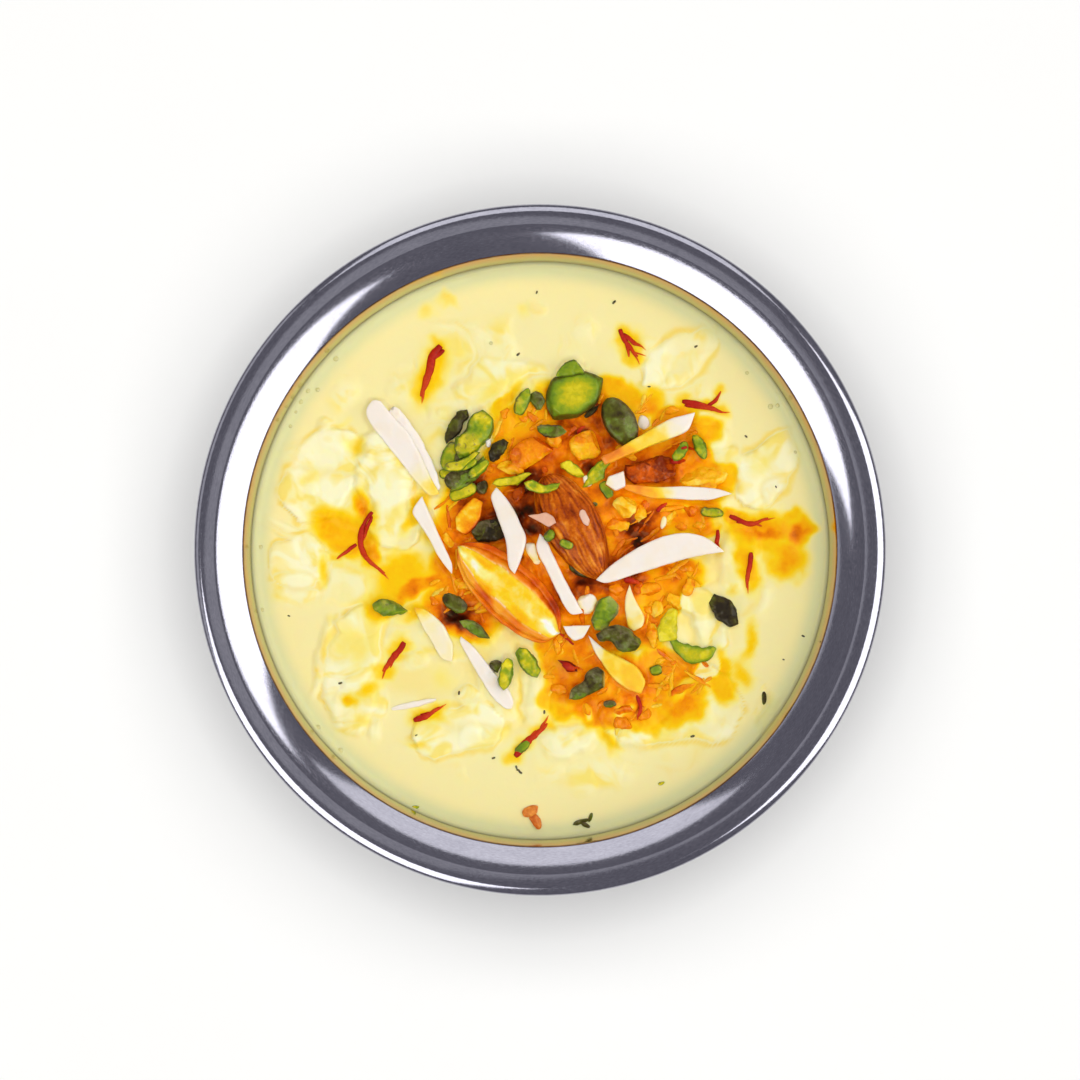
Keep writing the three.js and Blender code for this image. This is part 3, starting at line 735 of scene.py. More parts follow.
def brokenOff(local, form, seed):
    # what stands over a few slanting planes is pushed back onto them: p - max(0, p . n - d) n
    draw = np.random.default_rng(seed)
    size = np.abs(local).reshape(-1, 3).max(0) + 1e-6
    scaled, broken = local / size, np.zeros(local.shape[:-1])
    for cut in range(form.get("cuts", 0)):
        normal = draw.normal(size=3) * (1.0, 1.0, 0.7)
        normal = normal / np.linalg.norm(normal)
        reach = (scaled @ normal).max() * draw.uniform(*form.get("cutDepth", (0.55, 0.85)))
        over = np.maximum(scaled @ normal - reach, 0)
        scaled = scaled - over[..., None] * normal
        broken = np.maximum(broken, smoothStep(0.0, 0.06, over))
    return scaled * size, broken


def kernelSurface(body, form, seed):
    # P(s, f) = M + t(s) A + (c + w C) X + (m + h S) U
    # where C, S = (cos f, sin f) / (|cos f|^n + |sin f|^n)^(1/n), M is the middle, A, X, U the axes of the
    # piece, c, m the section's middle and w, h its half size
    # then broken off, and moved along the section's normal by noise and ridges; gives its coordinates too
    s = (1 - np.cos(math.pi * np.arange(1, form["stations"]) / form["stations"])) / 2
    t = body["reach"][0] + (body["reach"][1] - body["reach"][0]) * s
    centre, half = along(body, t)
    f = np.linspace(0, 2 * math.pi, form["sides"], endpoint=False)
    n = np.where(np.sin(f) > 0, form["square"][0], form["square"][1])
    radius = (np.abs(np.cos(f)) ** n + np.abs(np.sin(f)) ** n) ** (-1 / n)
    c, u = radius * np.cos(f), radius * np.sin(f)
    width, height = np.maximum(half[0], 1e-3)[:, None], np.maximum(half[1], 1e-3)[:, None]
    waist = (form.get("waist", 0.5) * 2 - 1) * height
    rise = np.where(u > 0, height - waist, height + waist) * u + waist
    sideways, upwards = centre[0][:, None] + width * c, centre[1][:, None] + rise
    local, broken = brokenOff(np.stack([t[:, None] + 0 * c, sideways, upwards], axis=-1), form, seed)
    out = [0 * width * c, roundedPower(c, n - 1) / width, roundedPower(u, n - 1) / height]
    out = np.stack(out, axis=-1)
    out /= np.linalg.norm(out, axis=-1, keepdims=True) + 1e-9
    rings = body["middle"] + local @ body["turn"]
    waver = noise(rings, form["size"], seed, 3)
    lift = form["rough"] * waver
    coords = {"s": s[:, None] + 0 * c, "c": c + 0 * s[:, None], "u": u + 0 * s[:, None], "waver": waver,
              "broken": broken}
    if "ridges" in form:
        bent = form["ridges"] * f / (2 * math.pi) + 1.5 * noise(rings, 5.0, seed + 9, 3)
        fibre = noise(local * (0.14, 1, 1), 0.9, seed + 3, 3)
        groove = 0.45 * np.abs(np.sin(math.pi * bent)) ** 0.8 + 0.3 + 0.75 * fibre
        coords["groove"] = groove
        lift = lift + form["ridgeDepth"] * (groove - 0.5)
    if "bevel" in form:  # the side past the cut face falls away round
        past = np.maximum(np.abs(c + 0.1) - 0.5, 0)
        lift = lift - form["bevel"] * smoothStep(0.3, 0.9, u) * past ** 2 / 0.25
    lift = lift * np.minimum(1, width / 0.8)  # less where the piece is narrow
    rings = rings + (out * lift[..., None]) @ body["turn"]
    beyond = body["turn"][0] * 0.02
    return closedTube(rings, rings[0].mean(0) - beyond, rings[-1].mean(0) + beyond), coords


def spread(values):
    # values of the rings, then their mean at the two tips
    return np.concatenate([values.ravel(), [values[0].mean(), values[-1].mean()]])


def soakOf(points, look, s):
    # saffron on a topping: deep near the stained milk and gone 1.5 mm above it, and along its stained ends
    above = points[:, 2] - milkTop(points[:, 0], points[:, 1])
    near = stainAt(points[:, 0], points[:, 1]) * smoothStep(1.5, 0.0, above)
    total = np.minimum(near, 0.62) * look.get("take", 0.0)
    for end, share, amount in look.get("stained", []):
        distance = s if end == 0 else 1 - s
        edge = share + 0.06 * noise(points, 1.5, 77)
        total = np.maximum(total, amount * smoothStep(edge + 0.22, edge - 0.22, distance))
    return total * (1 + 0.5 * noise(points, 2.0, 78, 3))


milk = {
    "depth": 11.5,  # from the crest of the rim down to the milk
    "cells": 292,  # across the surface
    "finer": 0.2,  # how much closer together the points lie in the middle
    "bite": 0.25,  # how far it reaches into the wall
    "mound": {"x": 8, "y": 1, "reach": 17, "height": 1.5},
    "climb": 2.4,  # how high it draws up at the wall
    "climbReach": 0.45,
    "calm": 7,  # width of the band by the wall without lumps
    "pile": (9, -2, 50, 62, 0),  # where the nuts lie: x, y, length, width, heading
    "ragged": (1.3, 4.0),  # how far noise pushes the outlines of lumps about, and its size
    "loose": 0.35,  # height of the lumps strewn by noise
    "looseRadius": (40, 46),  # all of them within the first, none past the second
    "skirt": (34, 22, 12, 5, 2.0, 1.0),  # heights of the rings down its side, the last just over the steel
    "foot": 1.5,  # most that it rises to a topping that lies on it
    "flakeRise": 1.3,  # most that a flake of malai stands out
}

# lumps of clotted cream that stand out of the milk: x, y, length, width, heading, height, edge
curdLumps = [
    (-43.4, 16.9, 7, 5.2, 20, 0.8, 0.5), (-39.4, 22.3, 3.2, 2.2, 60, 0.6, 0.4),
    (-36.4, 19.6, 6, 1.8, 80, 0.6, 0.5), (-28.6, 15.2, 14, 8.5, -62, 1.0, 0.12),
    (-26.0, 10.4, 8, 5.5, -70, 0.8, 0.2), (-46.4, 11.3, 3.6, 3.2, 30, 0.6, 0.4),
    (-27.9, 1.2, 6.6, 6, 10, 0.6, 0.3), (-45.2, 3.2, 12.5, 2.6, -27, 0.7, 0.4),
    (-44.2, -5.8, 9.5, 7, 10, 0.7, 0.35), (-34.6, -15.6, 9, 3, -44, 0.7, 0.3),
    (-33.2, -19.6, 8, 3.2, -48, 0.7, 0.3), (-40.3, -20, 14, 2, 82, 0.6, 0.4),
    (-33.9, -27.5, 12, 8, 75, 0.9, 0.2), (-29.4, -30.5, 8, 2.2, 80, 0.6, 0.4),
    (-24, 30.6, 5, 3, 40, 0.5, 0.5), (-17.4, 24.4, 2.4, 2.8, 0, 0.6, 0.5),
    (-12.8, 40.2, 14, 2.2, -14, 0.5, 0.5), (-6.8, 32.2, 15, 7, -8, 0.7, 0.3),
    (-13, 29.5, 6, 4, 30, 0.6, 0.4), (-1, 44.7, 2.2, 3, 60, 0.5, 0.5), (8.5, 40.9, 5.2, 3, -10, 0.4, 0.6),
    (19, 36, 6, 4, 50, 0.5, 0.5), (31.2, 22, 8, 5.4, -50, 0.8, 0.3), (34.3, 16.5, 6, 5, 20, 0.7, 0.3),
    (36.5, -1.5, 12, 6.5, 80, 0.8, 0.25), (39.5, -9.5, 6, 5, 20, 0.6, 0.4),
    (28.6, -9.4, 7, 7, 60, 0.9, 0.2), (31.2, -14.4, 7.5, 6.4, -70, 0.8, 0.25),
    (30.2, -22.6, 6, 4.4, -60, 0.9, 0.15), (5, -34.2, 10.5, 7.6, 20, 0.8, 0.25),
    (-2.6, -27, 6, 8, 10, 0.6, 0.4), (16.1, -33.4, 9, 5.2, 0, 0.8, 0.25), (10.5, -41, 12, 5, 12, 0.4, 0.6),
    (-8, -30.6, 9, 4, 25, 0.5, 0.4), (-19.6, -34.8, 8, 5, -60, 0.7, 0.2),
    (-12.5, -27.6, 7, 3.4, -30, 0.6, 0.3), (39.9, -27, 1.6, 6, -5, 0.7, 0.4), (33, -31, 6, 8, 70, 0.6, 0.3),
    (42.5, 4, 5, 9, 30, 0.4, 0.6), (-35.8, 28.6, 6, 4, 45, 0.4, 0.6), (-22.3, -20.4, 5, 3, 30, 0.4, 0.5),
    (26.2, -38.8, 9, 4, 15, 0.4, 0.6),
]

# hollows between the lumps: the same
hollows = [
    (-34.1, 19.3, 3.6, 3.4, 0, 0.7, 0.5), (-32.2, 8.4, 4.2, 2.0, 70, 0.6, 0.5),
    (-36.2, 2.6, 11, 4.2, -25, 0.6, 0.4), (-23.2, -23.6, 12, 7, -10, 0.3, 0.5),
    (-39.8, -3.8, 5, 1.8, 78, 0.5, 0.5), (-7.9, 5.1, 8, 6, 30, 1.2, 0.4), (-3.2, 9.8, 3.4, 5, 20, 0.9, 0.5),
    (17.9, 1.8, 6.5, 4.4, 50, 1.0, 0.4), (9.1, 15.2, 3, 2.2, 30, 0.7, 0.5),
    (-14.7, -11.4, 6, 3.4, -25, 0.8, 0.4), (6.8, -5.4, 5, 3, 30, 0.8, 0.5),
    (41.5, -30, 2.6, 8, -4, 0.6, 0.5), (3.4, 25, 5, 3, -50, 0.6, 0.5), (9.6, 24.8, 3, 4, 20, 0.7, 0.5),
    (-44, 7.8, 7, 1.6, -30, 0.4, 0.5),
]

# threads of saffron: points of the route in mm, width, and how many finer threads spread from its end
saffronThreads = [
    ([(-18.2, 37.6), (-19.6, 36.0), (-20.2, 33.0), (-21.8, 28.2)], 1.1, 1),
    ([(-17.6, 36.9), (-19.4, 35.2), (-20.6, 31.0)], 0.6, 0),
    ([(14.8, 40.6), (15.6, 38.6), (17.0, 36.4), (18.0, 35.6)], 0.7, 2),
    ([(15.4, 39.8), (17.0, 38.4), (18.6, 37.4)], 0.6, 1),
    ([(15.6, 39.4), (16.2, 37.2), (16.3, 35.4)], 0.5, 0),
    ([(26.0, 27.4), (29.6, 26.8), (33.6, 25.2)], 0.8, 1),
    ([(30.6, 26.6), (32.4, 27.6), (33.2, 29.2)], 0.5, 0),
    ([(26.4, 26.6), (29.0, 26.2), (32.0, 25.6)], 0.5, 0),
    ([(-30.6, 7.0), (-32.6, 4.2), (-33.2, 1.0), (-31.6, -2.0), (-28.4, -4.2)], 0.75, 1),
    ([(-30.8, 6.2), (-31.8, 3.8), (-32.6, 1.4)], 0.5, 0),
    ([(-33.6, 1.2), (-35.2, -0.2), (-37.2, -1.6)], 0.55, 0),
    ([(-24.8, -17.0), (-26.4, -19.2), (-28.8, -22.2)], 0.9, 1), ([(-25.6, -17.8), (-27.6, -21.6)], 0.5, 0),
    ([(-23.0, -31.2), (-20.6, -30.4), (-18.4, -28.8)], 0.8, 1), ([(-22.0, -30.0), (-19.4, -29.6)], 0.45, 0),
    ([(-4.6, -37.6), (-2.4, -35.2), (1.4, -31.6)], 1.0, 1), ([(-3.6, -36.2), (-0.6, -33.0)], 0.6, 0),
    ([(34.8, 6.3), (38.4, 4.6), (41.8, 6.0)], 0.7, 1), ([(36.0, 5.2), (38.8, 5.0), (40.6, 4.4)], 0.5, 0),
    ([(38.6, -0.4), (38.2, -3.6), (37.8, -6.8)], 0.75, 1), ([(21.6, 7.0), (23.2, 8.6)], 0.6, 0),
    ([(23.9, 16.2), (26.6, 16.4)], 0.9, 0), ([(32.6, 3.6), (32.3, 0.2)], 0.6, 0),
    ([(15.6, -5.2), (18.2, -5.9)], 0.9, 1), ([(4.2, -20.8), (6.6, -21.8)], 1.0, 1),
    ([(17.6, -26.6), (18.6, -28.6), (17.8, -31.0)], 0.5, 0),
]

# saffron in the milk, and painted shade between the nuts: x, y, length, width, heading, amount, edge as a
# share of its size
stainsAndShade = [
    # under the nuts
    (7, 15, 27, 20, 10, 0.50, 0.12), (21, 13, 25, 21, 0, 0.44, 0.12), (-10.5, -3, 19, 19, -40, 0.50, 0.15),
    (6, -3, 27, 23, 0, 0.52, 0.15), (-3, 21.4, 15, 12, 20, 0.40, 0.15), (14, 27.2, 12, 9, -30, 0.34, 0.18),
    (20.5, 27, 5, 4.4, 0, 0.42, 0.4), (24.2, 23.4, 10, 6, 10, 0.42, 0.2), (30.2, 20.2, 7, 8, 0, 0.36, 0.2),
    (33.6, 14.4, 5, 8.4, 0, 0.31, 0.2), (-6.3, 27.7, 9, 2.4, 40, 0.32, 0.4),
    (29, 5.6, 10, 6.5, 10, 0.42, 0.2),
    # dark syrup in the hollows, darker still as painted shade between the nuts
    (-12.6, 8.8, 9, 6, 20, 0.72, 0.6), (15.2, -3.4, 6, 8, 20, 0.80, 0.7), (1.4, 16.6, 9, 5, -30, 0.68, 0.6),
    (13.6, 20.6, 9, 6, 60, 0.62, 0.5), (-1.2, 4.6, 6, 7, 0, 0.86, 0.6), (25.6, 19.4, 8, 3.4, 20, 0.60, 0.5),
    (7, 20.8, 10, 6, -10, 0.72, 0.8), (-2, 13.6, 9, 7, 0, 0.76, 0.8), (9.6, 16, 7, 5, 20, 0.80, 0.8),
    (-7.6, 5.0, 12, 9, 20, 0.92, 0.7), (-2.6, 9.0, 7, 10, 0, 0.84, 0.7), (18.2, 3.2, 10, 8, 50, 0.82, 0.7),
    (19, 0, 11, 8, 50, 0.72, 0.7), (6, -6.4, 11, 6.4, 20, 0.84, 0.8), (10.6, -6.4, 6, 4, 0, 0.74, 0.7),
    (-14.9, -11.8, 10, 5.6, -25, 0.84, 0.7), (-12.2, 12.0, 8, 6, 20, 0.78, 0.8),
    (3.6, 26, 9, 5, -50, 0.72, 0.8), (10.4, 25.4, 5, 8, 20, 0.74, 0.8), (-13.4, 6.2, 10, 7, 36, 0.58, 0.6),
    (-16.6, 3, 6, 8, -60, 0.50, 0.6), (-12.8, -9.2, 12, 7, -38, 0.60, 0.5), (21, 15, 13, 8, 6, 0.64, 0.4),
    (-6.2, 14.4, 12, 5, 10, 0.62, 0.5),
    # below the long sliver
    (24, -7, 14, 10.5, 10, 0.40, 0.2), (25.4, -3.6, 9, 4, 14, 0.54, 0.3), (17.4, -6, 6, 4, 30, 0.66, 0.5),
    (19.6, -14, 7, 7, -60, 0.54, 0.4), (14, -14, 12, 9, 0, 0.50, 0.2),
    # syrup over the front
    (24.2, -23.6, 15, 11, -40, 0.42, 0.12), (12, -24, 21, 11, -12, 0.49, 0.15),
    (3.6, -20.5, 7.5, 15, 8, 0.40, 0.2), (2.2, -26.6, 6, 4.6, 30, 0.30, 0.3),
    (17.2, -21.6, 9, 4.6, -42, 0.27, 0.2), (12.6, -29.6, 21, 5.4, -6, 0.45, 0.3),
    (24.6, -29.6, 13, 5, -4, 0.32, 0.3), (12, -34.4, 8, 2, -58, 0.28, 0.6),
    (13.8, -36, 4, 1.2, -40, 0.22, 0.6), (34, -23.8, 5, 8.6, 12, 0.33, 0.3),
    (33.2, -19.4, 2.4, 3.6, 0, 0.24, 0.5), (18.2, -28.4, 1.6, 5, -10, 0.80, 0.7),
    (12.8, -28.1, 3, 1.6, 0, 0.80, 0.6), (7, -15.4, 8, 7, -60, 0.56, 0.4), (8, -24, 8, 5, 20, 0.58, 0.6),
    (8.2, -30.4, 2, 1.4, 30, 0.3, 0.6), (29.5, -29.4, 3, 5, -20, 0.30, 0.4),
    (20.8, -32.6, 2, 3, 20, 0.24, 0.5),
    # left
    (-36, 3.2, 12, 8, -24, 0.34, 0.3), (-32, 7.4, 3, 6, 20, 0.42, 0.4), (-31, 0.2, 4, 8, 10, 0.40, 0.4),
    (-25.1, -4.8, 10.5, 8, 20, 0.29, 0.3), (-21.6, -6.6, 13, 3.4, 28, 0.52, 0.35),
    (-22.6, 7.2, 3, 10, -25, 0.30, 0.4), (-29.2, -10.2, 6.6, 6.4, 40, 0.34, 0.4),
    (-22.8, -11.6, 6, 4, 20, 0.30, 0.5), (-34, 19.3, 3.8, 3.4, 0, 0.24, 0.6),
    (-34.3, -17.3, 8.4, 6, -44, 0.15, 0.4), (-31.2, -24.9, 4, 3.6, 0, 0.28, 0.5),
    (-34.5, -26.9, 3.4, 3, 30, 0.32, 0.5), (-33.4, -30.6, 4, 3, 0, 0.16, 0.6),
    (-40, -3.8, 1.6, 5, 8, 0.26, 0.5), (-20, 32, 5, 12, -18, 0.30, 0.5), (-17.8, -24, 4, 6, 60, 0.13, 0.5),
    (-20.4, -30, 6, 3, 30, 0.24, 0.5), (-22.4, -35.6, 1.6, 5, 70, 0.2, 0.5),
    (-8.6, -34, 8, 3, 20, 0.14, 0.6), (-42, 13.6, 3, 3, 0, 0.16, 0.6), (-36.4, 22.8, 4, 2, 40, 0.14, 0.6),
    # back
    (-20.4, 44.1, 4, 3.4, 60, 0.17, 0.6), (-17.4, 46.2, 4, 2.2, -20, 0.18, 0.5),
    (-3, 44.4, 2.4, 3.4, 20, 0.14, 0.5), (16.6, 38.2, 5, 6, -50, 0.20, 0.5),
    (30, 26.4, 8, 2.4, -15, 0.22, 0.5), (-8, 30, 8, 2, 30, 0.16, 0.5),
    # right
    (40.8, 3.8, 13, 5.4, 0, 0.40, 0.5), (47.2, 3.2, 4.2, 5.6, -30, 0.56, 0.6),
    (38.2, -2.6, 4.2, 9.0, 4, 0.40, 0.5), (45.0, -1.8, 6.6, 7.0, 10, 0.38, 0.5),
    (41.6, 0.8, 5, 4, 0, 0.30, 0.5), (41.4, 3.0, 6, 2, -10, 0.52, 0.6), (36, 5.4, 5, 2.8, -20, 0.42, 0.5),
    (45.4, 6.4, 4, 2.4, 20, 0.32, 0.6), (38.2, -16.5, 2.4, 8.6, 0, 0.27, 0.6),
    (37.6, -22.6, 3, 6, 20, 0.27, 0.6), (34.4, -7.4, 2, 4, 0, 0.22, 0.5), (43, -34, 2.6, 9, -50, 0.13, 0.5),
    (40.4, 15.4, 6, 4, 60, 0.13, 0.5),
]

# clotted cream that stays pale among the saffron: the same
cleanCurds = [
    (30.6, -10.4, 8.4, 9.4, -60, 1.0, 0.2), (30.6, -21.6, 4.6, 5, -60, 1.0, 0.15),
    (27, 7.3, 1.8, 1.6, 0, 0.5, 0.5), (-3.6, -21.5, 5, 14, 12, 1.0, 0.3),
    (8.6, -29.4, 1.6, 2.8, 10, 0.6, 0.4), (15.6, -29, 4.6, 1.7, 14, 0.6, 0.4),
    (26.4, -25.4, 6.6, 1.5, 22, 0.45, 0.4), (34, 18.6, 5, 5, 0, 0.8, 0.4),
    (-12.6, -20, 5, 6, -30, 0.9, 0.4), (-9.8, 20.4, 1.3, 3, 10, 0.7, 0.4),
    (18.9, 23.5, 1.8, 2.2, 20, 0.6, 0.4), (32.4, 5.4, 3, 2.4, 0, 0.5, 0.5),
]


def ellipseDistance(patch, x, y):
    # ((|u| / a)^2.6 + (|v| / b)^2.6)^(1 / 2.6), 1 on the patch's outline
    angle = math.radians(patch[4])
    u = (x - patch[0]) * math.cos(angle) + (y - patch[1]) * math.sin(angle)
    v = (y - patch[1]) * math.cos(angle) - (x - patch[0]) * math.sin(angle)
    return ((2 * np.abs(u) / patch[2]) ** 2.6 + (2 * np.abs(v) / patch[3]) ** 2.6) ** (1 / 2.6)


def warped(x, y, reach, size, seed):
    # the same points pushed about by noise, so that round patches get ragged outlines
    spot = flatPoints(x, y)
    return x + reach * noise(spot, size, seed, 3), y + reach * noise(spot, size, seed + 50, 3)


def patchField(patches, x, y, power=5, softer=1.0):
    # rounded maximum (sum of c^n)^(1/n), where c falls from the patch's amount to 0 over its edge
    total = np.zeros_like(x)
    for patch in patches:
        edge = min(patch[6] * softer, 0.9)
        cover = smoothStep(1 + edge, 1 - edge, ellipseDistance(patch, x, y))
        total += (patch[5] * cover) ** power
    return total ** (1 / power)


def outsideOf(body, x, y):
    # mm outside the plan outline of a measured piece, below 0 within it, and its half thickness there
    place = (flatPoints(x, y) - body["middle"]) @ body["turn"][:2].T
    t = np.clip(place[..., 0], body["reach"][0], body["reach"][1])
    centre, half = along(body, t)
    beside = np.abs(place[..., 1] - centre[0]) - half[0]
    beyond = np.abs(place[..., 0] - t)
    return np.where(beyond > 0, np.hypot(beyond, np.maximum(beside, 0)), beside), half[1]


def puffed(points, size, seed):
    # 1 - e^(-3.5 |n|) of a noise n, which is round and meets in creases where n is 0
    return 1 - np.exp(-3.5 * np.abs(noise(points, size, seed, 1)))


def milkRelief(x, y):
    # level + mound + climb at the wall + puffed lumps and flakes - hollows, and puffs among the piled nuts
    # also gives how curdled the milk is, from 0 in the creases to 1 on the malai; in the creases, the
    # hollows and round the foot of each flake it is lowered as painted shade
    mound = milk["mound"]
    fromAxis = np.hypot(x, y)
    swell = np.exp(-((x - mound["x"]) ** 2 + (y - mound["y"]) ** 2) / mound["reach"] ** 2)
    climb = np.exp(np.minimum(fromAxis - milkRadius, 0) / milk["climbReach"])
    spot = flatPoints(x, y)
    nearX, nearY = warped(x, y, *milk["ragged"], 11)
    near = flatPoints(nearX, nearY)
    within, past = milk["looseRadius"]
    loose = smoothStep(0.0, 0.4, noise(near, 8.0, 45, 2)) * smoothStep(past, within, fromAxis)
    lumps = np.maximum(patchField(curdLumps, nearX, nearY, 4), milk["loose"] * loose)
    slab, flakeFootShade = np.zeros_like(x), np.zeros_like(x)
    for body in flakeBodies:
        outside, half = outsideOf(body, nearX, nearY)
        rise = min(body["middle"][2] + body["half"][1].max() - milkLevel, milk["flakeRise"])
        lumps = np.maximum(lumps, rise * smoothStep(0.6, -0.8, outside))
        slab = np.maximum(slab, smoothStep(0.5, -0.6, outside))
        # painted shade in a band round the foot of each flake
        flakeFootShade = np.maximum(flakeFootShade, smoothStep(1.6, 0.3, outside))
    pits = patchField(hollows, nearX, nearY, 4)
    curd = np.clip(lumps / 0.8, 0, 1.2)
    large = puffed(near, 9.0, 51)
    puffs = 0.65 * large + 0.35 * puffed(near, 4.2, 21)
    crease = smoothStep(0.6, 0.05, large)
    fine = noise(spot, 1.5, 31, 2) * 0.09
    calm = smoothStep(milkRadius, milkRadius - milk["calm"], fromAxis)
    pile = smoothStep(1.25, 0.85, ellipseDistance(milk["pile"], x, y))
    height = milkLevel + mound["height"] * swell + milk["climb"] * climb
    height = height + calm * (1.5 * lumps * (0.35 + 0.75 * puffs) + curd * fine) - pits
    height = height + pile * (0.9 * puffs - 0.7 + 2 * fine)
    # the share falls in the creases, in the hollows and round each flake's foot, so that the crease colour
    # paints shade there
    share = 0.36 + 0.7 * curd * (puffs - 0.1) - 0.5 * pits - 0.2 * pile
    share = share - 0.3 * crease * np.minimum(curd, 0.9) + 0.3 * slab - 0.34 * flakeFootShade * (1 - slab)
    return height, np.clip(share, 0, 1)


def feetUnder(x, y, height):
    # the milk drawn up to each topping that lies on it, so that none floats over it
    lifted = height.copy()
    for body in laidBodies:
        near = np.hypot(x - body["middle"][0], y - body["middle"][1]) < body["reach"][1] + 2
        outside, half = outsideOf(body, x[near], y[near])
        under = body["middle"][2] - half * 0.6
        rise = np.clip(under - height[near], 0, milk["foot"])
        rise = np.where(under - height[near] > milk["foot"] + 1.0, 0, rise)
        lifted[near] = np.maximum(lifted[near], height[near] + rise * smoothStep(1.0, -0.4, outside))
    return lifted


def stainField(x, y):
    # saffron from 0 to 1 with ragged outlines and a halo round each thread, streaked by finer noise
    nearX, nearY = warped(x, y, 1.6, 3.4, 61)
    haloes = [(spot[0], spot[1], 1.8 + 1.8 * width, 1.4 + 1.8 * width, 0, 0.25, 0.6)
              for route, width, branches in saffronThreads for spot in route]
    amount = patchField(stainsAndShade + haloes, nearX, nearY, 5, 1.7)
    clean = patchField(cleanCurds, nearX, nearY)
    streak = noise(flatPoints(x, y), 1.8, 91, 3)
    return np.clip(amount * (1 + 0.3 * streak * smoothStep(0.2, 0.5, amount)) * (1 - clean), 0, 1)


def lookUp(field, x, y):
    # value of a field kept on a square raster, straight between its points
    place = [(v + raster["reach"]) / raster["step"] for v in (x, y)]
    cell = [np.clip(p.astype(int), 0, raster["count"] - 2) for p in place]
    t = [p - c for p, c in zip(place, cell)]
    i, j = cell
    near = field[i, j] * (1 - t[1]) + field[i, j + 1] * t[1]
    far = field[i + 1, j] * (1 - t[1]) + field[i + 1, j + 1] * t[1]
    return near * (1 - t[0]) + far * t[0]


def milkTop(x, y):
    return lookUp(raster["height"], x, y)


def stainAt(x, y):
    return lookUp(raster["stain"], x, y)


def discGrid(cells):
    # square grid folded onto the unit disc: radius = the larger of |a| and |b|, its angle from their ratio
    a, b = np.meshgrid(np.linspace(-1, 1, cells + 1), np.linspace(-1, 1, cells + 1), indexing="ij")
    wide = np.abs(a) > np.abs(b)
    radius = np.where(wide, a, b)
    safe = np.where(radius == 0, 1, radius)
    angle = np.where(wide, math.pi / 4 * b / safe, math.pi / 2 - math.pi / 4 * a / safe)
    share = np.abs(radius)
    scale = np.sign(radius) * (share * (1 - milk["finer"]) + milk["finer"] * share ** 3)
    return scale * np.cos(angle), scale * np.sin(angle)


def makeMilk(line):
    # top surface over the disc, then its edge carried down the wall to the floor and closed there
    cells = milk["cells"]
    discX, discY = discGrid(cells)
    x, y = discX * milkRadius, discY * milkRadius
    height, curd = milkRelief(x, y)
    height = feetUnder(x, y, height)
    index = np.arange((cells + 1) ** 2).reshape(cells + 1, cells + 1)
    top = np.stack([index[:-1, :-1], index[1:, :-1], index[1:, 1:], index[:-1, 1:]], axis=-1).reshape(-1, 4)
    edge = np.concatenate([index[:-1, 0], index[-1, :-1], index[:0:-1, -1], index[0, :0:-1]])
    levels = np.array([milkLevel - 3, *milk["skirt"]])
    inside = line[line[:, 1] < milkLevel + 4]
    radii = np.interp(levels, inside[:, 1], inside[:, 0]) + milk["bite"]
    unitX, unitY = discX.ravel()[edge], discY.ravel()[edge]
    skirt = np.stack([radii[:, None] * unitX, radii[:, None] * unitY, levels[:, None] + 0 * unitX], axis=-1)
    points = np.concatenate([np.stack([x, y, height], axis=-1).reshape(-1, 3), skirt.reshape(-1, 3),
                             [(0, 0, levels[-1])]])
    rows = np.concatenate([edge[None], index.size + np.arange(skirt[..., 0].size).reshape(len(levels), -1)])
    after = np.roll(rows, -1, axis=1)
    side = np.stack([rows[1:], after[1:], after[:-1], rows[:-1]], axis=-1).reshape(-1, 4)
    base = np.stack([np.full(len(edge), len(points) - 1), after[-1], rows[-1]], axis=1)
    stain = np.concatenate([stainField(x, y).ravel(), np.zeros(len(points) - index.size)])
    curds = np.concatenate([curd.ravel(), np.full(len(points) - index.size, 0.35)])
    wall = smoothStep(milkRadius - 4.5, milkRadius - 0.2, np.hypot(points[:, 0], points[:, 1]))
    shape = points, np.concatenate([top, side]), base
    addPiece("saffron_milk", shape, materials["milk"], "milk", ["rabdi", *flakeNames],
             {"stain": stain, "curd": curds, "wall": wall})


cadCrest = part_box("bowl")[1].z / mm
milkLevel = cadCrest - milk["depth"]
insideLine = bowlProfile()
milkRadius = np.interp(milkLevel, insideLine[:, 1], insideLine[:, 0]) + milk["bite"]
flakeNames = sorted(name for name in frame["nodes"] if name.startswith("malai_flake"))
flakeBodies = [measureNode(name) for name in flakeNames]
bodies = {name: measureNode(name) for name in sorted(frame["nodes"])
          if name not in ("bowl", "rabdi") and name not in flakeNames}
bodies.update({name: outlined(bodies[name], corners, 0.8 if name == "almond_split" else 0.3)
               for name, corners in outlines.items()})
laidBodies = list(bodies.values())
# heights and stain are kept at points step mm apart, reach mm each way from the bowl's axis
raster = {"reach": 54.0, "step": 0.4}
raster["count"] = round(2 * raster["reach"] / raster["step"]) + 1
rasterLine = np.arange(raster["count"]) * raster["step"] - raster["reach"]
rasterX, rasterY = np.meshgrid(rasterLine, rasterLine, indexing="ij")
raster["height"] = feetUnder(rasterX, rasterY, milkRelief(rasterX, rasterY)[0])
raster["stain"] = stainField(rasterX, rasterY)
makeBowl(insideLine)
makeMilk(insideLine)
print("bowl and milk made, milk level", round(milkLevel, 2), "radius", round(float(milkRadius), 2))


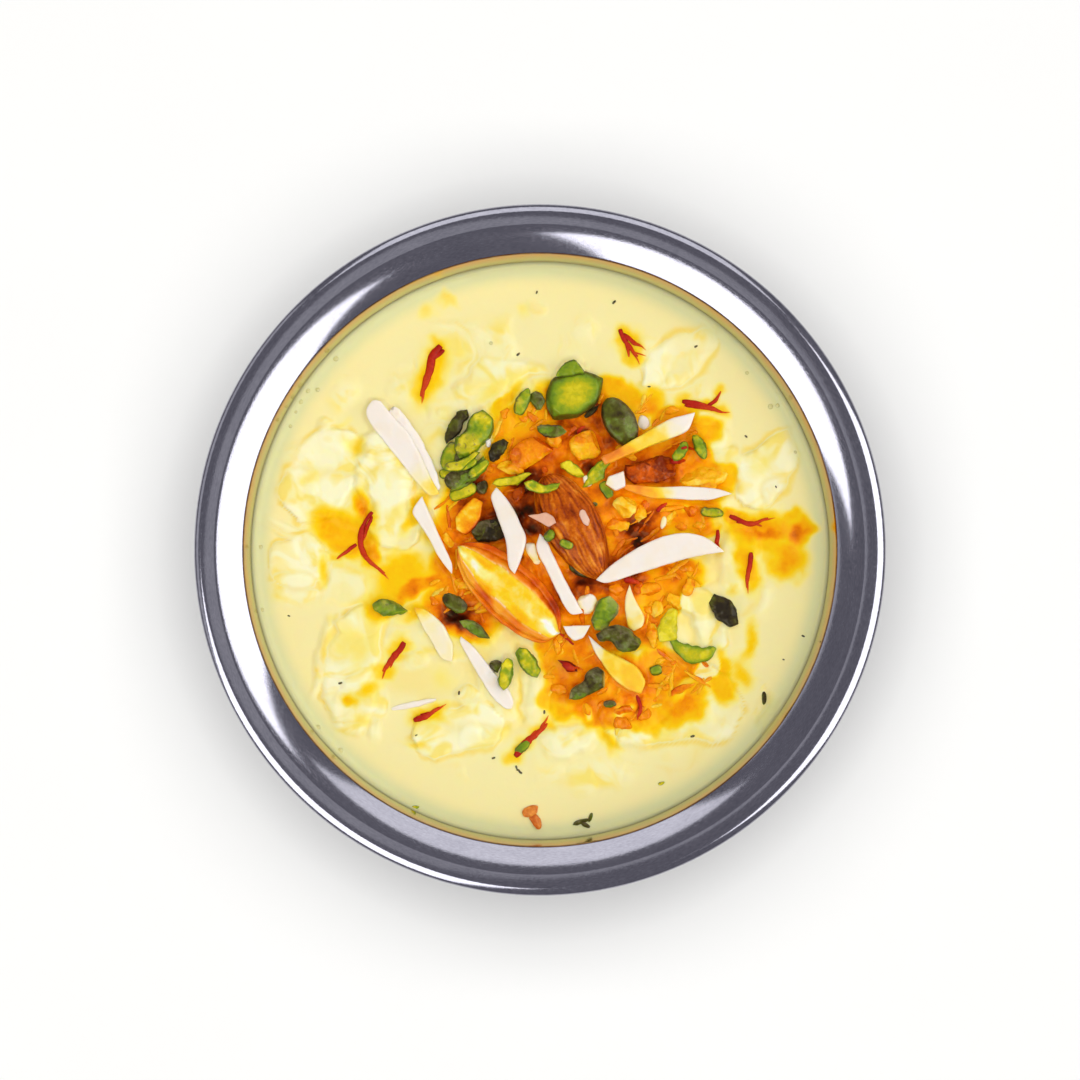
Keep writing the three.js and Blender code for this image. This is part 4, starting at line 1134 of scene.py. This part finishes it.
# form, material, record slot and look of each topping
# tone is the place on the material's scale of colours; the top adds face to it and the middle glow, the
# edges take rim off, and mottle makes it uneven; take is how much saffron comes up from below, and stained
# gives the end, 0 or 1, the share of the length and the amount
white, yellow = (sliverForm, "nut", "almond_white"), (sliverForm, "nut", "almond_yellow")
green, lime = (chipForm, "pistachio", "pistachio_green"), (chipForm, "pistachio", "pistachio_lime")
dark, soft = (chipForm, "pistachio", "pistachio_dark"), (lumpForm, "soaked", "soaked_malai")
toppings = {
    "almond_whole": ({**nutForm, "ridges": 24, "ridgeDepth": 0.26, "rough": 0.22}, "skin", "almond_skin",
                     {"blushSide": 0.12}),
    "almond_split": ({**nutForm, "square": (5, 2), "waist": 0.72, "bevel": 1.6, "rough": 0.3}, "split",
                     "almond_stained", {"face": 0.58, "flank": 0.25}),
    "sliver_back_left": (*white, {"stained": [(1, 0.24, 0.18)]}),
    "sliver_left": (*white, {}),
    "sliver_low_left": (*white, {"stained": [(0, 1.3, 0.09), (0, 0.22, 0.36)]}),
    "sliver_front_left": (*white, {"take": 0.1}),
    "sliver_middle": (*white, {}),
    "sliver_thin": (*white, {}),
    "sliver_large": (*white, {}),
    "sliver_right": (*white, {"stained": [(0, 0.36, 0.46)]}),
    "sliver_back_right": (*yellow, {"stained": [(0, 0.7, 0.25), (0, 0.36, 0.44)]}),
    "sliver_wedge": (*yellow, {"stained": [(1, 0.74, 0.27)]}),
    "sliver_short": (*white, {"stained": [(1, 1.3, 0.12), (1, 0.4, 0.18)]}),
    "sliver_nib": (*white, {"take": 0.3}),
    "sliver_stub": (*white, {"stained": [(0, 0.3, 0.12)]}),
    "almond_flake_pink": ({**sliverForm, "rough": 0.3}, "nut", "almond_pink", {"take": 0.1, "blush": 0.9}),
    "amber_wedge": (sliverForm, "soaked", "almond_yellow", {"tone": 0.36, "rim": -0.4, "mottle": 0.5}),
    "ribbed_chunk": (lumpForm, "soaked", "almond_yellow", {"tone": 0.10}),
    "malai_fold_soaked": (*soft, {"tone": 0.50}),
    "malai_fold_yellow": (*soft, {"tone": 0.18}),
    "soaked_chunk": (*soft, {"tone": 0.36}),
    "soaked_nut": (*soft, {"tone": 0.86}),
    "pistachio_half": ({**chipForm, "stations": 70, "sides": 70, "rough": 0.12}, "pistachio",
                       "pistachio_green",
                       {"tone": 0.32, "face": 0.10, "rim": 0.16, "mottle": 0.12, "glow": 0.46}),
    "pistachio_half_dark": ({**chipForm, "stations": 60, "sides": 60, "rough": 0.15}, "pistachio",
                            "pistachio_dark", {"tone": 0.20, "face": 0.10, "rim": 0.1, "skin": 0.3}),
    "pistachio_lobe": ({**chipForm, "stations": 60, "sides": 60}, "pistachio", "pistachio_green",
                       {"tone": 0.60, "face": 0.16, "rim": 0.34, "mottle": 0.4, "skin": 0.14}),
    "pistachio_half_under": (*dark, {"tone": 0.10}),
    "pistachio_skin": (*dark, {"tone": 0.12, "face": 0.1}),
    "pistachio_strip": (*lime, {"tone": 0.66, "face": 0.18, "rim": 0.4, "skin": 0.14}),
    "pistachio_strip_dark": (*dark, {"tone": 0.30, "face": 0.12, "skin": 0.2}),
    "pistachio_dark": (*dark, {"tone": 0.08}),
    "pistachio_cap": (*green, {"tone": 0.34, "face": 0.24, "mottle": 0.16}),
    "pistachio_foot": (*green, {"tone": 0.54, "face": 0.2, "rim": 0.34, "skin": 0.14}),
    "pistachio_cup": (*green, {"tone": 0.30, "face": 0.12, "rim": 0.34, "skin": 0.14, "take": 0.5}),
    "pistachio_slice": (*lime, {"tone": 0.70, "face": 0.16, "rim": 0.16}),
    "pistachio_curl": (*lime, {"tone": 0.66, "face": 0.16, "rim": 0.2}),
    "pistachio_bright": (*lime, {"tone": 0.74, "face": 0.14, "rim": 0.2}),
    "pistachio_boot": (*lime, {"tone": 0.62, "face": 0.16, "rim": 0.2}),
    "pistachio_bean_a": (*green, {"tone": 0.50, "face": 0.16, "rim": 0.24}),
    "pistachio_bean_b": (*green, {"tone": 0.54, "face": 0.16, "rim": 0.24}),
    "pistachio_black": (*dark, {"tone": 0.04, "take": 0.1}),
    "pistachio_smile": (*lime, {"tone": 0.54, "face": 0.06, "rim": 0.08, "glow": 0.24, "mottle": 0.05}),
    "pistachio_lime": (*lime, {"tone": 0.84, "face": 0.06, "mottle": 0.14, "take": 0.2}),
    "pistachio_leaf": (*green, {"tone": 0.34, "face": 0.16, "take": 0.3}),
    "pistachio_knob": (*dark, {"tone": 0.26, "skin": 0.42, "take": 0.3}),
    "pistachio_olive": (*dark, {"tone": 0.26, "skin": 0.5, "take": 0.3}),
    "red_fruit_bit": ({**chipForm, "rough": 0.3}, "thread", "saffron_red", {"tone": -0.15}),
    "pistachio_low_left": (*green, {"tone": 0.46, "face": 0.12, "skin": 0.3}),
    "pistachio_under": (*dark, {"tone": 0.26, "face": 0.14, "skin": 0.3}),
    "pistachio_front_a": (*lime, {"tone": 0.60, "face": 0.18, "rim": 0.2, "take": 0.2}),
    "pistachio_front_b": (*green, {"tone": 0.52, "face": 0.2, "rim": 0.2}),
}


def paintOf(points, coords, look):
    # tone, saffron, skin and blush on a topping, from its own coordinates
    s, across, up = spread(coords["s"]), spread(coords["c"]), spread(coords["u"])
    waver = spread(coords["waver"])
    face = smoothStep(0.55, 0.95, up) * smoothStep(0.95, 0.7, np.abs(across))
    rim = smoothStep(0.75, 1.0, np.abs(across)) + smoothStep(0.12, 0.0, np.minimum(s, 1 - s))
    ragged = smoothStep(-0.5, 0.4, waver)
    tone = look.get("tone", 0.0) + look.get("face", 0.0) * face
    tone = tone - look.get("rim", 0.0) * np.minimum(rim, 1) * ragged
    tone = tone + look.get("glow", 0.0) * np.clip(1 - across ** 2 - (2 * s - 1) ** 2, 0, 1)
    tone = tone + 0.12 * spread(coords["broken"]) + look.get("mottle", 0.3) * waver
    skin = look.get("skin", 0.0) * smoothStep(-0.1, 0.3, waver + 0.5 * across)
    blush = look.get("blush", 0.0) + look.get("blushSide", 0.0) * smoothStep(0.2, 0.8, across + 0.4 * waver)
    return {"tone": tone, "soak": soakOf(points, look, s), "skin": skin, "blush": blush}


def almondPaint(points, coords, look):
    # ridges pale and grooves dark
    paint = paintOf(points, coords, look)
    waver = noise(points, 2.2, 301, 3)
    paint["tone"] = 0.16 + 0.62 * spread(coords["groove"]) + 0.36 * waver
    return paint


def splitPaint(points, coords, look):
    # cut face with painted highlights along its middle and at one tip, and beside it the skin, orange to
    # red towards the edge
    across, up, s = spread(coords["c"]), spread(coords["u"]), spread(coords["s"])
    waver = noise(points, 3.4, 311, 3)
    side = across + 0.10 * waver
    left, right = smoothStep(0.44, 0.56, side - 0.25 * (s - 0.5)), smoothStep(-0.44, -0.56, side)
    skin = np.maximum(np.maximum(left, right), smoothStep(0.5, 0.2, up))
    # painted highlight: a broken pale streak along the middle of the cut face
    streak = smoothStep(0.34, 0.08, np.abs(side + 0.02 - 0.3 * (s - 0.5)))
    streak = streak * smoothStep(-0.2, 0.2, waver + 0.15) * (0.6 + 0.4 * np.sin(8.5 * s + 0.2))
    # painted highlight at the end of the cut face where s nears 1
    tip = smoothStep(0.80, 0.92, s) * smoothStep(0.42, 0.0, np.abs(side - 0.05))
    face = look["face"] + 0.34 * waver - 0.56 * streak - 0.6 * tip
    flank = look["flank"] + 0.52 * smoothStep(0.42, 0.75, across) + 0.15 * smoothStep(0.5, 0.9, -across)
    flank = flank + 0.8 * waver
    return {"tone": np.where(skin > 0.5, flank, np.clip(face, 0, 1)), "skin": skin}


def makeToppings():
    painters = {"almond_whole": almondPaint, "almond_split": splitPaint}
    for seed, (name, (form, material, slot, look)) in enumerate(toppings.items()):
        shape, coords = kernelSurface(bodies[name], form, 400 + 7 * seed)
        paint = painters.get(name, paintOf)(shape[0], coords, look)
        addPiece("top_" + name, shape, materials[material], slot, [name], paint)


makeToppings()
print("toppings made:", len(toppings))


# small pieces that have no solid of their own: x, y, length, width, thick, heading, bend
greenBits = [
    (-14.1, 10.7, 5.2, 2.8, 1.6, 25, 0), (-16.6, 17.2, 5.4, 3.0, 1.8, 72, 0),
    (-11.2, 14.8, 4.6, 2.0, 1.4, 40, 0), (-17.0, 14.2, 3.0, 2.0, 1.4, 10, 0),
    (-13.0, 15.6, 3.4, 1.6, 1.4, 30, 0), (1.7, 2.6, 2.3, 2.0, 1.8, 60, 0),
    (4.8, 1.0, 2.6, 1.6, 1.4, -20, 0), (31.5, 6.9, 4.2, 1.8, 1.4, -6, 0),
    (21.3, -21.9, 2.3, 2.0, 1.2, 20, 0), (-3.2, -36.0, 3.2, 1.8, 0.9, 40, 0),
    (22.2, -42.6, 1.2, 0.7, 0.5, 20, 0), (-22.8, -47.0, 1.5, 0.7, 0.5, 10, 0),
    (12.2, 11.0, 3.4, 2.2, 1.2, -60, 20),
]
darkBits = [
    (7.7, -3.1, 4.8, 3.6, 2.0, -30, 0), (-10.6, 11.6, 2.6, 2.0, 1.8, 70, 0),
    (-14.6, 13.4, 6.0, 3.6, 1.8, 25, 0), (-13.6, 18.0, 5.0, 3.0, 1.6, 55, 0),
    (7.5, -49.7, 3.2, 0.9, 0.6, 20, 30), (8.3, -50.2, 2.0, 0.8, 0.5, -30, 0),
    (9.2, -48.9, 0.7, 1.8, 0.5, -20, 0), (-10.0, 4.0, 5.2, 3.4, 1.6, 10, 0),
    (-0.5, 27.5, 3.6, 2.4, 1.4, -60, 20), (-7.8, -21.2, 3.0, 2.2, 1.4, -30, 0),
    (10.0, 8.4, 1.0, 0.8, 0.6, 0, 0), (12.8, -28.1, 2.4, 1.3, 0.9, 0, 0),
    (-15.6, -9.6, 5.0, 3.0, 1.6, -30, 0), (41.0, -27.0, 0.9, 2.6, 0.5, 0, 0),
    (3.4, 26.6, 4.6, 2.8, 1.6, -50, 30), (9.6, 25.6, 3.6, 1.2, 1.0, 40, 0),
]
paleBits = [
    (8.6, -9.8, 3.9, 3.6, 1.5, 30, 0), (-9.6, 20.2, 1.1, 2.9, 0.8, 10, 0),
    (18.9, 23.4, 2.2, 2.6, 1.0, 20, 0), (-23.1, -28.2, 8.4, 1.1, 0.6, 12, 0),
    (22.6, 5.0, 1.0, 2.6, 0.7, -12, 0), (8.7, 12.6, 2.2, 1.4, 1.0, -60, 0),
    (-1.2, -0.6, 4.4, 2.2, 0.9, -60, 0), (-23.0, 18.5, 17.5, 3.9, 0.7, -61, 0),
]
amberBits = [
    (14.5, 4.6, 4.6, 2.8, 1.4, -8, 0), (24.2, 6.2, 3.4, 1.6, 1.2, 50, 0), (27.6, 7.4, 2.6, 2.2, 1.4, 0, 0),
    (17.2, -2.4, 3.0, 2.2, 1.4, 40, 0), (20.2, -7.4, 4.2, 3.0, 2.0, 10, 0),
    (24.6, -9.4, 4.0, 2.8, 2.0, -30, 0), (27.2, -6.8, 3.4, 2.4, 1.8, 60, 0),
    (21.6, -10.8, 3.6, 2.4, 1.8, 80, 0), (15.8, 17.8, 4.4, 2.2, 1.6, -30, 0),
    (2.6, 20.2, 4.2, 2.4, 1.6, -40, 0), (-4.8, 15.2, 6.2, 3.0, 1.8, 4, 0),
    (30.6, 11.0, 3.8, 2.4, 1.4, 30, 0), (18.6, 6.6, 3.4, 2.4, 1.6, 70, 0),
    (20.8, -15.6, 5.0, 2.2, 1.6, -80, 0), (28.8, -19.6, 5.2, 1.2, 0.9, -40, 0),
    (26.2, -25.2, 6.6, 1.4, 0.9, 22, 0), (-17.2, 2.0, 3.6, 2.0, 1.4, -50, 0),
    (-14.0, -6.4, 4.0, 2.0, 1.4, -40, 0), (23.6, -19.8, 6.6, 0.7, 0.7, -38, 0),
    (28.6, -23.4, 6.4, 0.7, 0.7, -32, 0), (15.4, -29.2, 4.2, 1.4, 0.9, 14, 0),
    (8.6, -29.2, 1.3, 2.8, 0.9, 10, 0), (3.2, -17.6, 3.4, 1.2, 1.0, -80, 0),
]
# a pale pink flake laid on the whole almond as a painted highlight
highlightFlakeBits = [(8.1, 5.8, 3.1, 1.5, 0.5, -62, 0)]
skinBits = [(-1.7, -47.7, 3.2, 1.9, 1.0, 20, 0), (-0.9, -49.3, 3.8, 1.7, 1.0, -62, 20)]
specks = [
    (-36.5, -24.3), (-14.8, -26.1), (-22.6, -33.8), (0.8, -29.6), (-8.5, -38.0), (-4.0, -40.2),
    (-3.6, -40.6), (-4.3, -39.7), (27.9, -34.0), (37.8, 20.9), (43.2, 11.6), (48.2, -15.7), (3.4, 28.6),
    (-20.0, -12.4), (28.6, 37.4), (-4.0, 36.0), (-0.6, 47.4), (13.6, 45.6), (20.0, 30.0), (44.6, -20.0),
    (-46.0, -12.0),
]
bubbles = [
    (-37.5, 35.2, 1.0), (-42.6, 29.3, 0.9), (-40.8, 29.5, 0.8), (-43.9, 27.3, 0.9), (-44.8, 25.4, 0.6),
    (-51.2, 0.6, 0.8), (-50.9, -10.9, 0.8), (-40.6, -32.4, 0.9), (-36.5, -36.6, 1.0), (42.3, 26.4, 1.0),
    (43.6, 26.6, 0.8), (-9.0, 38.0, 0.7), (38.0, 32.6, 0.7), (-45.8, 22.8, 0.7), (46.8, 18.0, 0.6),
]
# how many are strewn over the stained milk (of threads, so many tries), and the seed of the draws
scatter = {"shreds": 90, "crumbs": 44, "threads": 14, "seed": 12}


def sweptStrand(route, width, thick, seed, ends, stations, sides, wave=0.25):
    # P(s, f) = R(s) + w(s) cos f X + h(s) sin f U round the rounded route R, w and h going as s^a (1 - s)^b
    route = np.array(route, float)
    steps = np.concatenate([[0], np.cumsum(np.linalg.norm(np.diff(route, axis=0), axis=1))])
    s = np.linspace(0, 1, stations)
    line = np.stack([np.interp(s * steps[-1], steps, column) for column in route.T], axis=1)
    for smoothing in range(3):
        line[1:-1] = (line[:-2] + 2 * line[1:-1] + line[2:]) / 4
    line[:, :2] += wave * np.stack([noise(line, 2.2, seed), noise(line, 2.2, seed + 5)], axis=1)
    ahead = np.gradient(line, axis=0)
    ahead /= np.linalg.norm(ahead, axis=1, keepdims=True)
    across = np.cross((0, 0, 1), ahead)
    across /= np.linalg.norm(across, axis=1, keepdims=True)
    up = np.cross(ahead, across)
    size = (s + 0.02) ** ends[0] * (1.02 - s) ** ends[1]
    size = size / size.max() * (1 + 0.3 * noise(line, 1.3, seed + 9))
    f = np.linspace(0, 2 * math.pi, sides, endpoint=False)
    flat = size[:, None, None] * (width / 2 * np.cos(f)[:, None] * across[:, None])
    rings = line[:, None] + flat + size[:, None, None] * (thick / 2 * np.sin(f)[:, None] * up[:, None])
    shape = closedTube(rings, line[0] - 0.02 * ahead[0], line[-1] + 0.02 * ahead[-1])
    return shape, spread(s[:, None] + 0 * f)


def overTop(plan, lift):
    # route over whatever lies highest at each point
    plan = np.array(plan, float)
    fine = np.linspace(0, len(plan) - 1, 4 * len(plan))
    x, y = (np.interp(fine, np.arange(len(plan)), column) for column in plan.T)
    return np.stack([x, y, highestAt(x, y) + lift], axis=1)


def highestAt(x, y):
    return lookUp(raster["top"], x, y)


def bare(x, y):
    # whether the milk shows at a point
    x, y = np.array(x), np.array(y)
    return highestAt(x, y) - milkTop(x, y) < 0.3


def topsOf():
    # highest point of milk and toppings over the raster
    top = raster["height"].copy()
    for body in laidBodies:
        outside, half = outsideOf(body, rasterX, rasterY)
        width = max(body["half"][0].max(), 0.5)
        dome = np.sqrt(np.clip(1 - (1 + np.minimum(outside, 0) / width) ** 4, 0, 1))
        top = np.where(outside < 0, np.maximum(top, body["middle"][2] + half * dome), top)
    return top


def makeThreads(draw):
    # saffron threads with finer ones spreading from their ends, and short ones strewn among the nuts
    shapes, tones = [], []
    routes = [(plan, width, branches) for plan, width, branches in saffronThreads]
    for index in range(scatter["threads"]):
        x, y = draw.uniform(-14, 32), draw.uniform(-28, 26)
        turn, reach = draw.uniform(0, math.pi), draw.uniform(0.8, 2.2)
        step = (reach * math.cos(turn), reach * math.sin(turn))
        if stainAt(np.array(x), np.array(y)) > 0.42 and bare(x, y):
            routes.append(([(x - step[0], y - step[1]), (x, y + 0.4), (x + step[0], y + step[1])], 0.45, 0))
    for plan, width, branches in routes:
        seed = int(draw.integers(1, 9999))
        shape, s = sweptStrand(overTop(plan, 0.12), width * 1.35, width * 0.6, seed, (0.25, 0.5), 26, 8)
        shapes.append(shape)
        tones.append(0.1 + 0.35 * s)
        for branch in range(branches):
            end = np.array(plan[-1])
            ahead = end - np.array(plan[-2])
            ahead = ahead / np.linalg.norm(ahead)
            side = np.array([-ahead[1], ahead[0]]) * draw.uniform(-0.9, 0.9)
            finer = [end - ahead * 1.6, end - ahead * 0.4 + side * 0.5, end + ahead * 1.2 + side * 1.3]
            finer = overTop(finer, 0.12)
            shape, s = sweptStrand(finer, width * 0.5, width * 0.3, seed + 3, (0.2, 0.6), 14, 7)
            shapes.append(shape)
            tones.append(0.3 + 0.4 * s)
    addPiece("saffron_threads", joinShapes(shapes), materials["thread"], "saffron_red", (),
             {"tone": np.concatenate(tones)})


def makeShreds(draw):
    # thin soaked shreds of cream, most of them where the syrup is orange
    shapes, tones = [], []
    while len(shapes) < scatter["shreds"]:
        x, y = draw.uniform(-20, 34), draw.uniform(-33, 30)
        amount = float(stainAt(np.array(x), np.array(y)))
        turn, reach, bow = draw.normal(0.9, 0.5), draw.uniform(0.9, 2.6), draw.uniform(-0.4, 0.4)
        width, seed = draw.uniform(0.5, 1.1), int(draw.integers(1, 9999))
        ahead = np.array([math.cos(turn), math.sin(turn)])
        side = np.array([-ahead[1], ahead[0]]) * bow
        plan = np.array([(x, y) - ahead * reach, (x, y) + side * 0.6, (x, y) + ahead * reach])
        tooPale = amount < 0.3 + draw.uniform(0, 0.15)
        if tooPale or y < draw.uniform(-60, -12) or not np.all(bare(plan[:, 0], plan[:, 1])):
            continue
        route = overTop(plan, -0.05)
        route[:, 2] = np.minimum(route[:, 2], milkTop(route[:, 0], route[:, 1]) + 0.6)
        shape, s = sweptStrand(route, width, width * 0.6, seed, (0.3, 0.3), 16, 6, 0.15)
        shapes.append(shape)
        tones.append(np.clip(draw.normal(amount - 0.06, 0.12), 0.1, 0.8) + 0 * s)
    addPiece("soaked_shreds", joinShapes(shapes), materials["soaked"], "soaked_malai", (),
             {"tone": np.concatenate(tones)})


def makeCrumbs(draw):
    # crumbs of soaked cream between the nuts
    shapes, tones = [], []
    form = {"stations": 14, "sides": 13, "square": (2.6, 2.6), "rough": 0.5, "size": 1.0, "cuts": 4}
    ring = 0.5 * np.stack([np.cos(np.arange(6)), np.sin(np.arange(6))])
    while len(shapes) < scatter["crumbs"]:
        x, y = draw.uniform(-20, 34), draw.uniform(-32, 29)
        amount = float(stainAt(np.array(x), np.array(y)))
        size, turn = 0.9 + 2.2 * draw.beta(1.3, 3.0), draw.uniform(-80, 80)
        seed = int(draw.integers(1, 9999))
        soaked, free = 0.3 <= amount <= 0.85, np.all(bare(x + size * ring[0], y + size * ring[1]))
        if not soaked or y < draw.uniform(-60, -12) or not free:
            continue
        z = float(milkTop(np.array(x), np.array(y))) - 0.04 * size
        body = laidBody((x, y, z), size * 1.4, size, size * 0.6, turn, (0.4, 0.4), 0, 8)
        shape, coords = kernelSurface(body, form, seed)
        shapes.append(shape)
        tones.append(np.clip(amount + draw.normal(0.02, 0.08), 0.1, 0.9) + 0 * shape[0][:, 0])
    addPiece("soaked_crumbs", joinShapes(shapes), materials["soaked"], "soaked_malai", (),
             {"tone": np.concatenate(tones)})


def makeBits(name, rows, form, material, slot, look, draw):
    # small pieces of one kind, each resting on what is under it; low is the most that its middle may stand
    # over the milk, as a share of its thickness, and vary how much the tone differs from one to the next
    shapes, paints = [], []
    for x, y, length, width, thick, heading, bend in rows:
        z = float(highestAt(np.array(x), np.array(y))) + thick * 0.2
        if look.get("low"):
            z = min(z, float(milkTop(np.array(x), np.array(y))) + thick * look["low"])
        body = laidBody((x, y, z), length, width, thick, heading, (0.35, 0.4), bend, 24)
        shape, coords = kernelSurface(body, form, int(draw.integers(1, 9999)))
        varied = {**look, "tone": look.get("tone", 0) + draw.normal(0, look.get("vary", 0.05))}
        shapes.append(shape)
        paints.append(paintOf(shape[0], coords, varied))
    paint = {key: np.concatenate([p[key] for p in paints]) for key in paints[0]}
    addPiece(name, joinShapes(shapes), materials[material], slot, (), paint)


def makeSpecks(draw):
    # flat grains of cardamom on the milk
    shapes = []
    form = {"stations": 7, "sides": 8, "square": (2.4, 2.4), "rough": 0.2, "size": 0.5}
    for x, y in specks:
        z = float(milkTop(np.array(x), np.array(y))) + 0.05
        length = draw.uniform(0.4, 0.9)
        heading = draw.uniform(-90, 90)
        body = laidBody((x, y, z), length, length * 0.55, 0.3, heading, (0.4, 0.5), 0, 8)
        shapes.append(kernelSurface(body, form, int(draw.integers(1, 9999)))[0])
    addPiece("cardamom_specks", joinShapes(shapes), materials["speck"], "pistachio_dark")


def makeBubbles():
    # flattened balls of film, half sunk in the milk: (r cos a, 0.6 r sin a) turned about the upright
    shapes = []
    for x, y, size in bubbles:
        z = float(milkTop(np.array(x), np.array(y)))
        turn, rise = np.linspace(0, 2 * math.pi, 20, endpoint=False), np.linspace(-0.9, 1.4, 9)[:, None]
        radius = size / 2 * np.cos(rise)
        rings = np.stack([x + radius * np.cos(turn), y + radius * np.sin(turn),
                          z + size * 0.3 * np.sin(rise) + 0 * turn], axis=-1)
        shapes.append(closedTube(rings, (x, y, z - size * 0.3), (x, y, z + size * 0.3)))
    addPiece("milk_bubbles", joinShapes(shapes), materials["bubble"], "milk")


raster["top"] = topsOf()
draw = np.random.default_rng(scatter["seed"])
makeThreads(draw)
makeShreds(draw)
makeCrumbs(draw)
bitForm = {**chipForm, "stations": 26, "sides": 24, "rough": 0.3}
makeBits("pistachio_bits", greenBits, bitForm, "pistachio", "pistachio_green",
         {"tone": 0.52, "face": 0.2, "rim": 0.34, "skin": 0.13, "vary": 0.08}, draw)
makeBits("pistachio_dark_bits", darkBits, bitForm, "pistachio", "pistachio_dark",
         {"tone": 0.26, "skin": 0.4, "vary": 0.06, "low": 0.3}, draw)
makeBits("almond_highlight_flake", highlightFlakeBits, bitForm, "nut", "almond_pink", {"blush": 0.7}, draw)
makeBits("almond_bits", paleBits, bitForm, "nut", "almond_white", {"take": 0.3, "low": 0.3}, draw)
makeBits("soaked_bits", amberBits, {**lumpForm, "stations": 34, "sides": 30}, "soaked", "soaked_malai",
         {"tone": 0.36, "vary": 0.12, "low": 0.08}, draw)
makeBits("almond_skin_bits", skinBits, bitForm, "skin", "almond_skin", {"tone": 0.62, "blush": 0.3}, draw)
makeSpecks(draw)
makeBubbles()
print("threads, shreds, crumbs, bits, specks and bubbles made")


studio = {
    "elevation": 88.4,  # the camera looks almost straight down
    "distance": 0.6,
    "target": (0.0, 0.00158, 0.056),
    "lens": 111.2,
    # softboxes: azimuth from +X and elevation in degrees, width, height, roll in degrees, light that is
    # mirrored, light that falls on the food
    "boxes": [(352, 43, 1.25, 1.05, 6, 2.8, 1.9), (226, 41, 1.15, 0.95, 8, 2.8, 1.0),
              (87, 38, 1.3, 0.75, 0, 1.15, 0.5), (170, 24, 1.6, 0.4, 0, 0.45, 0.0),
              (150, 84, 0.5, 0.35, 0, 0.27, 0.0)],
    "boxDistance": 1.2,
    # soft lights overhead that the steel doesn't mirror: size, height, light
    "overFood": (1.6, 1.5, 1.95),
    "overFloor": (1.2, 1.5, 5.0),
    "floor": ((250, 250, 245), (252, 252, 247)),
    # painted shadow round the bowl: the floor's white scaled down inside these radii in mm
    "floorShade": (60, 76, 0.79),  # this share of its white at the first radius, all of it at the second
    "floorReach": 3.0,
    "room": (0.225, 0.22, 0.25),
}


def makeCamera():
    camera = bpy.data.objects.new("camera", bpy.data.cameras.new("camera"))
    bpy.context.scene.collection.objects.link(camera)
    angle = math.radians(studio["elevation"])
    back = Vector((0, -math.cos(angle), math.sin(angle)))
    camera.location = Vector(studio["target"]) + back * studio["distance"]
    camera.rotation_euler = back.to_track_quat("Z", "Y").to_euler()
    camera.data.lens = studio["lens"]
    camera.data.sensor_width = 36
    camera.data.clip_start = 0.01
    bpy.context.scene.camera = camera


def addPanel(name, across, up, light, towards, distance, mirrored, lit):
    # rectangular light on what is in lit: a mirrored one shows in reflections alone, another falls on it
    panel = bpy.data.objects.new(name, bpy.data.lights.new(name, "AREA"))
    panel.data.shape = "RECTANGLE"
    panel.data.size, panel.data.size_y = across, up
    panel.data.energy = light * math.pi * across * up
    panel.location = towards * distance
    panel.visible_glossy, panel.visible_diffuse = mirrored, not mirrored
    panel.light_linking.receiver_collection = lit
    bpy.context.scene.collection.objects.link(panel)
    return panel


def makeSoftboxes(food):
    # each box twice: one that is only mirrored, and one that only lights the food
    for number, (azimuth, elevation, across, up, roll, gloss, fill) in enumerate(studio["boxes"]):
        turn, tilt = math.radians(azimuth), math.radians(elevation)
        towards = Vector((math.cos(turn) * math.cos(tilt), math.sin(turn) * math.cos(tilt), math.sin(tilt)))
        facing = towards.to_track_quat("Z", "Y") @ Quaternion((0, 0, 1), math.radians(roll))
        for mirrored, light in ((True, gloss), (False, fill)):
            if light == 0:
                continue
            name = f"softbox_{number}_{'gloss' if mirrored else 'fill'}"
            panel = addPanel(name, across, up, light, towards, studio["boxDistance"], mirrored, food)
            panel.rotation_euler = facing.to_euler()


def makeTopLights(food, ground):
    # overhead, facing straight down
    for key, lit in (("overFood", food), ("overFloor", ground)):
        size, height, light = studio[key]
        addPanel(key, size, size, light, Vector((0, 0, 1)), height, False, lit)


def litCollection(name, pieces):
    # what a light falls on
    made = bpy.data.collections.new(name)
    for piece in pieces:
        made.objects.link(piece)
    return made


def makeRoom():
    # an even grey room and a pale floor, with a painted shadow that greys it close to the bowl
    scene = bpy.context.scene
    world = bpy.data.worlds.new("room")
    world.use_nodes = True
    world.node_tree.nodes["Background"].inputs["Color"].default_value = (*studio["room"], 1)
    scene.world = world
    scene.view_settings.view_transform = "Standard"
    material, make, shade = newMaterial("paleFloor")
    white = mixColour(make, grain(make, 40.0, 2.0), *(rgb(*colour) for colour in studio["floor"]))
    x, y, z, radius = placeOf(make)
    # painted shadow: the floor's white falls to the given share towards the bowl's axis
    inner, outer, share = studio["floorShade"]
    light = remap(make, radius, inner * mm, outer * mm, share, 1.0)
    shaded = make("VectorMath", {0: white, "Scale": light}, operation="SCALE").outputs[0]
    shade(Base_Color=shaded, Roughness=0.9)
    mesh = bpy.data.meshes.new("floor")
    reach = studio["floorReach"]
    mesh.from_pydata([(-reach, -reach, 0), (reach, -reach, 0), (reach, reach, 0), (-reach, reach, 0)], [],
                     [(0, 1, 2, 3)])
    mesh.materials.append(material)
    floor = bpy.data.objects.new("floor", mesh)
    scene.collection.objects.link(floor)
    return floor


makeCamera()
floor = makeRoom()
ground = litCollection("ground", [floor])
food = litCollection("food", [piece for piece in bpy.context.scene.objects if piece.get("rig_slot")])
makeSoftboxes(food)
makeTopLights(food, ground)
print("camera, light and floor placed")
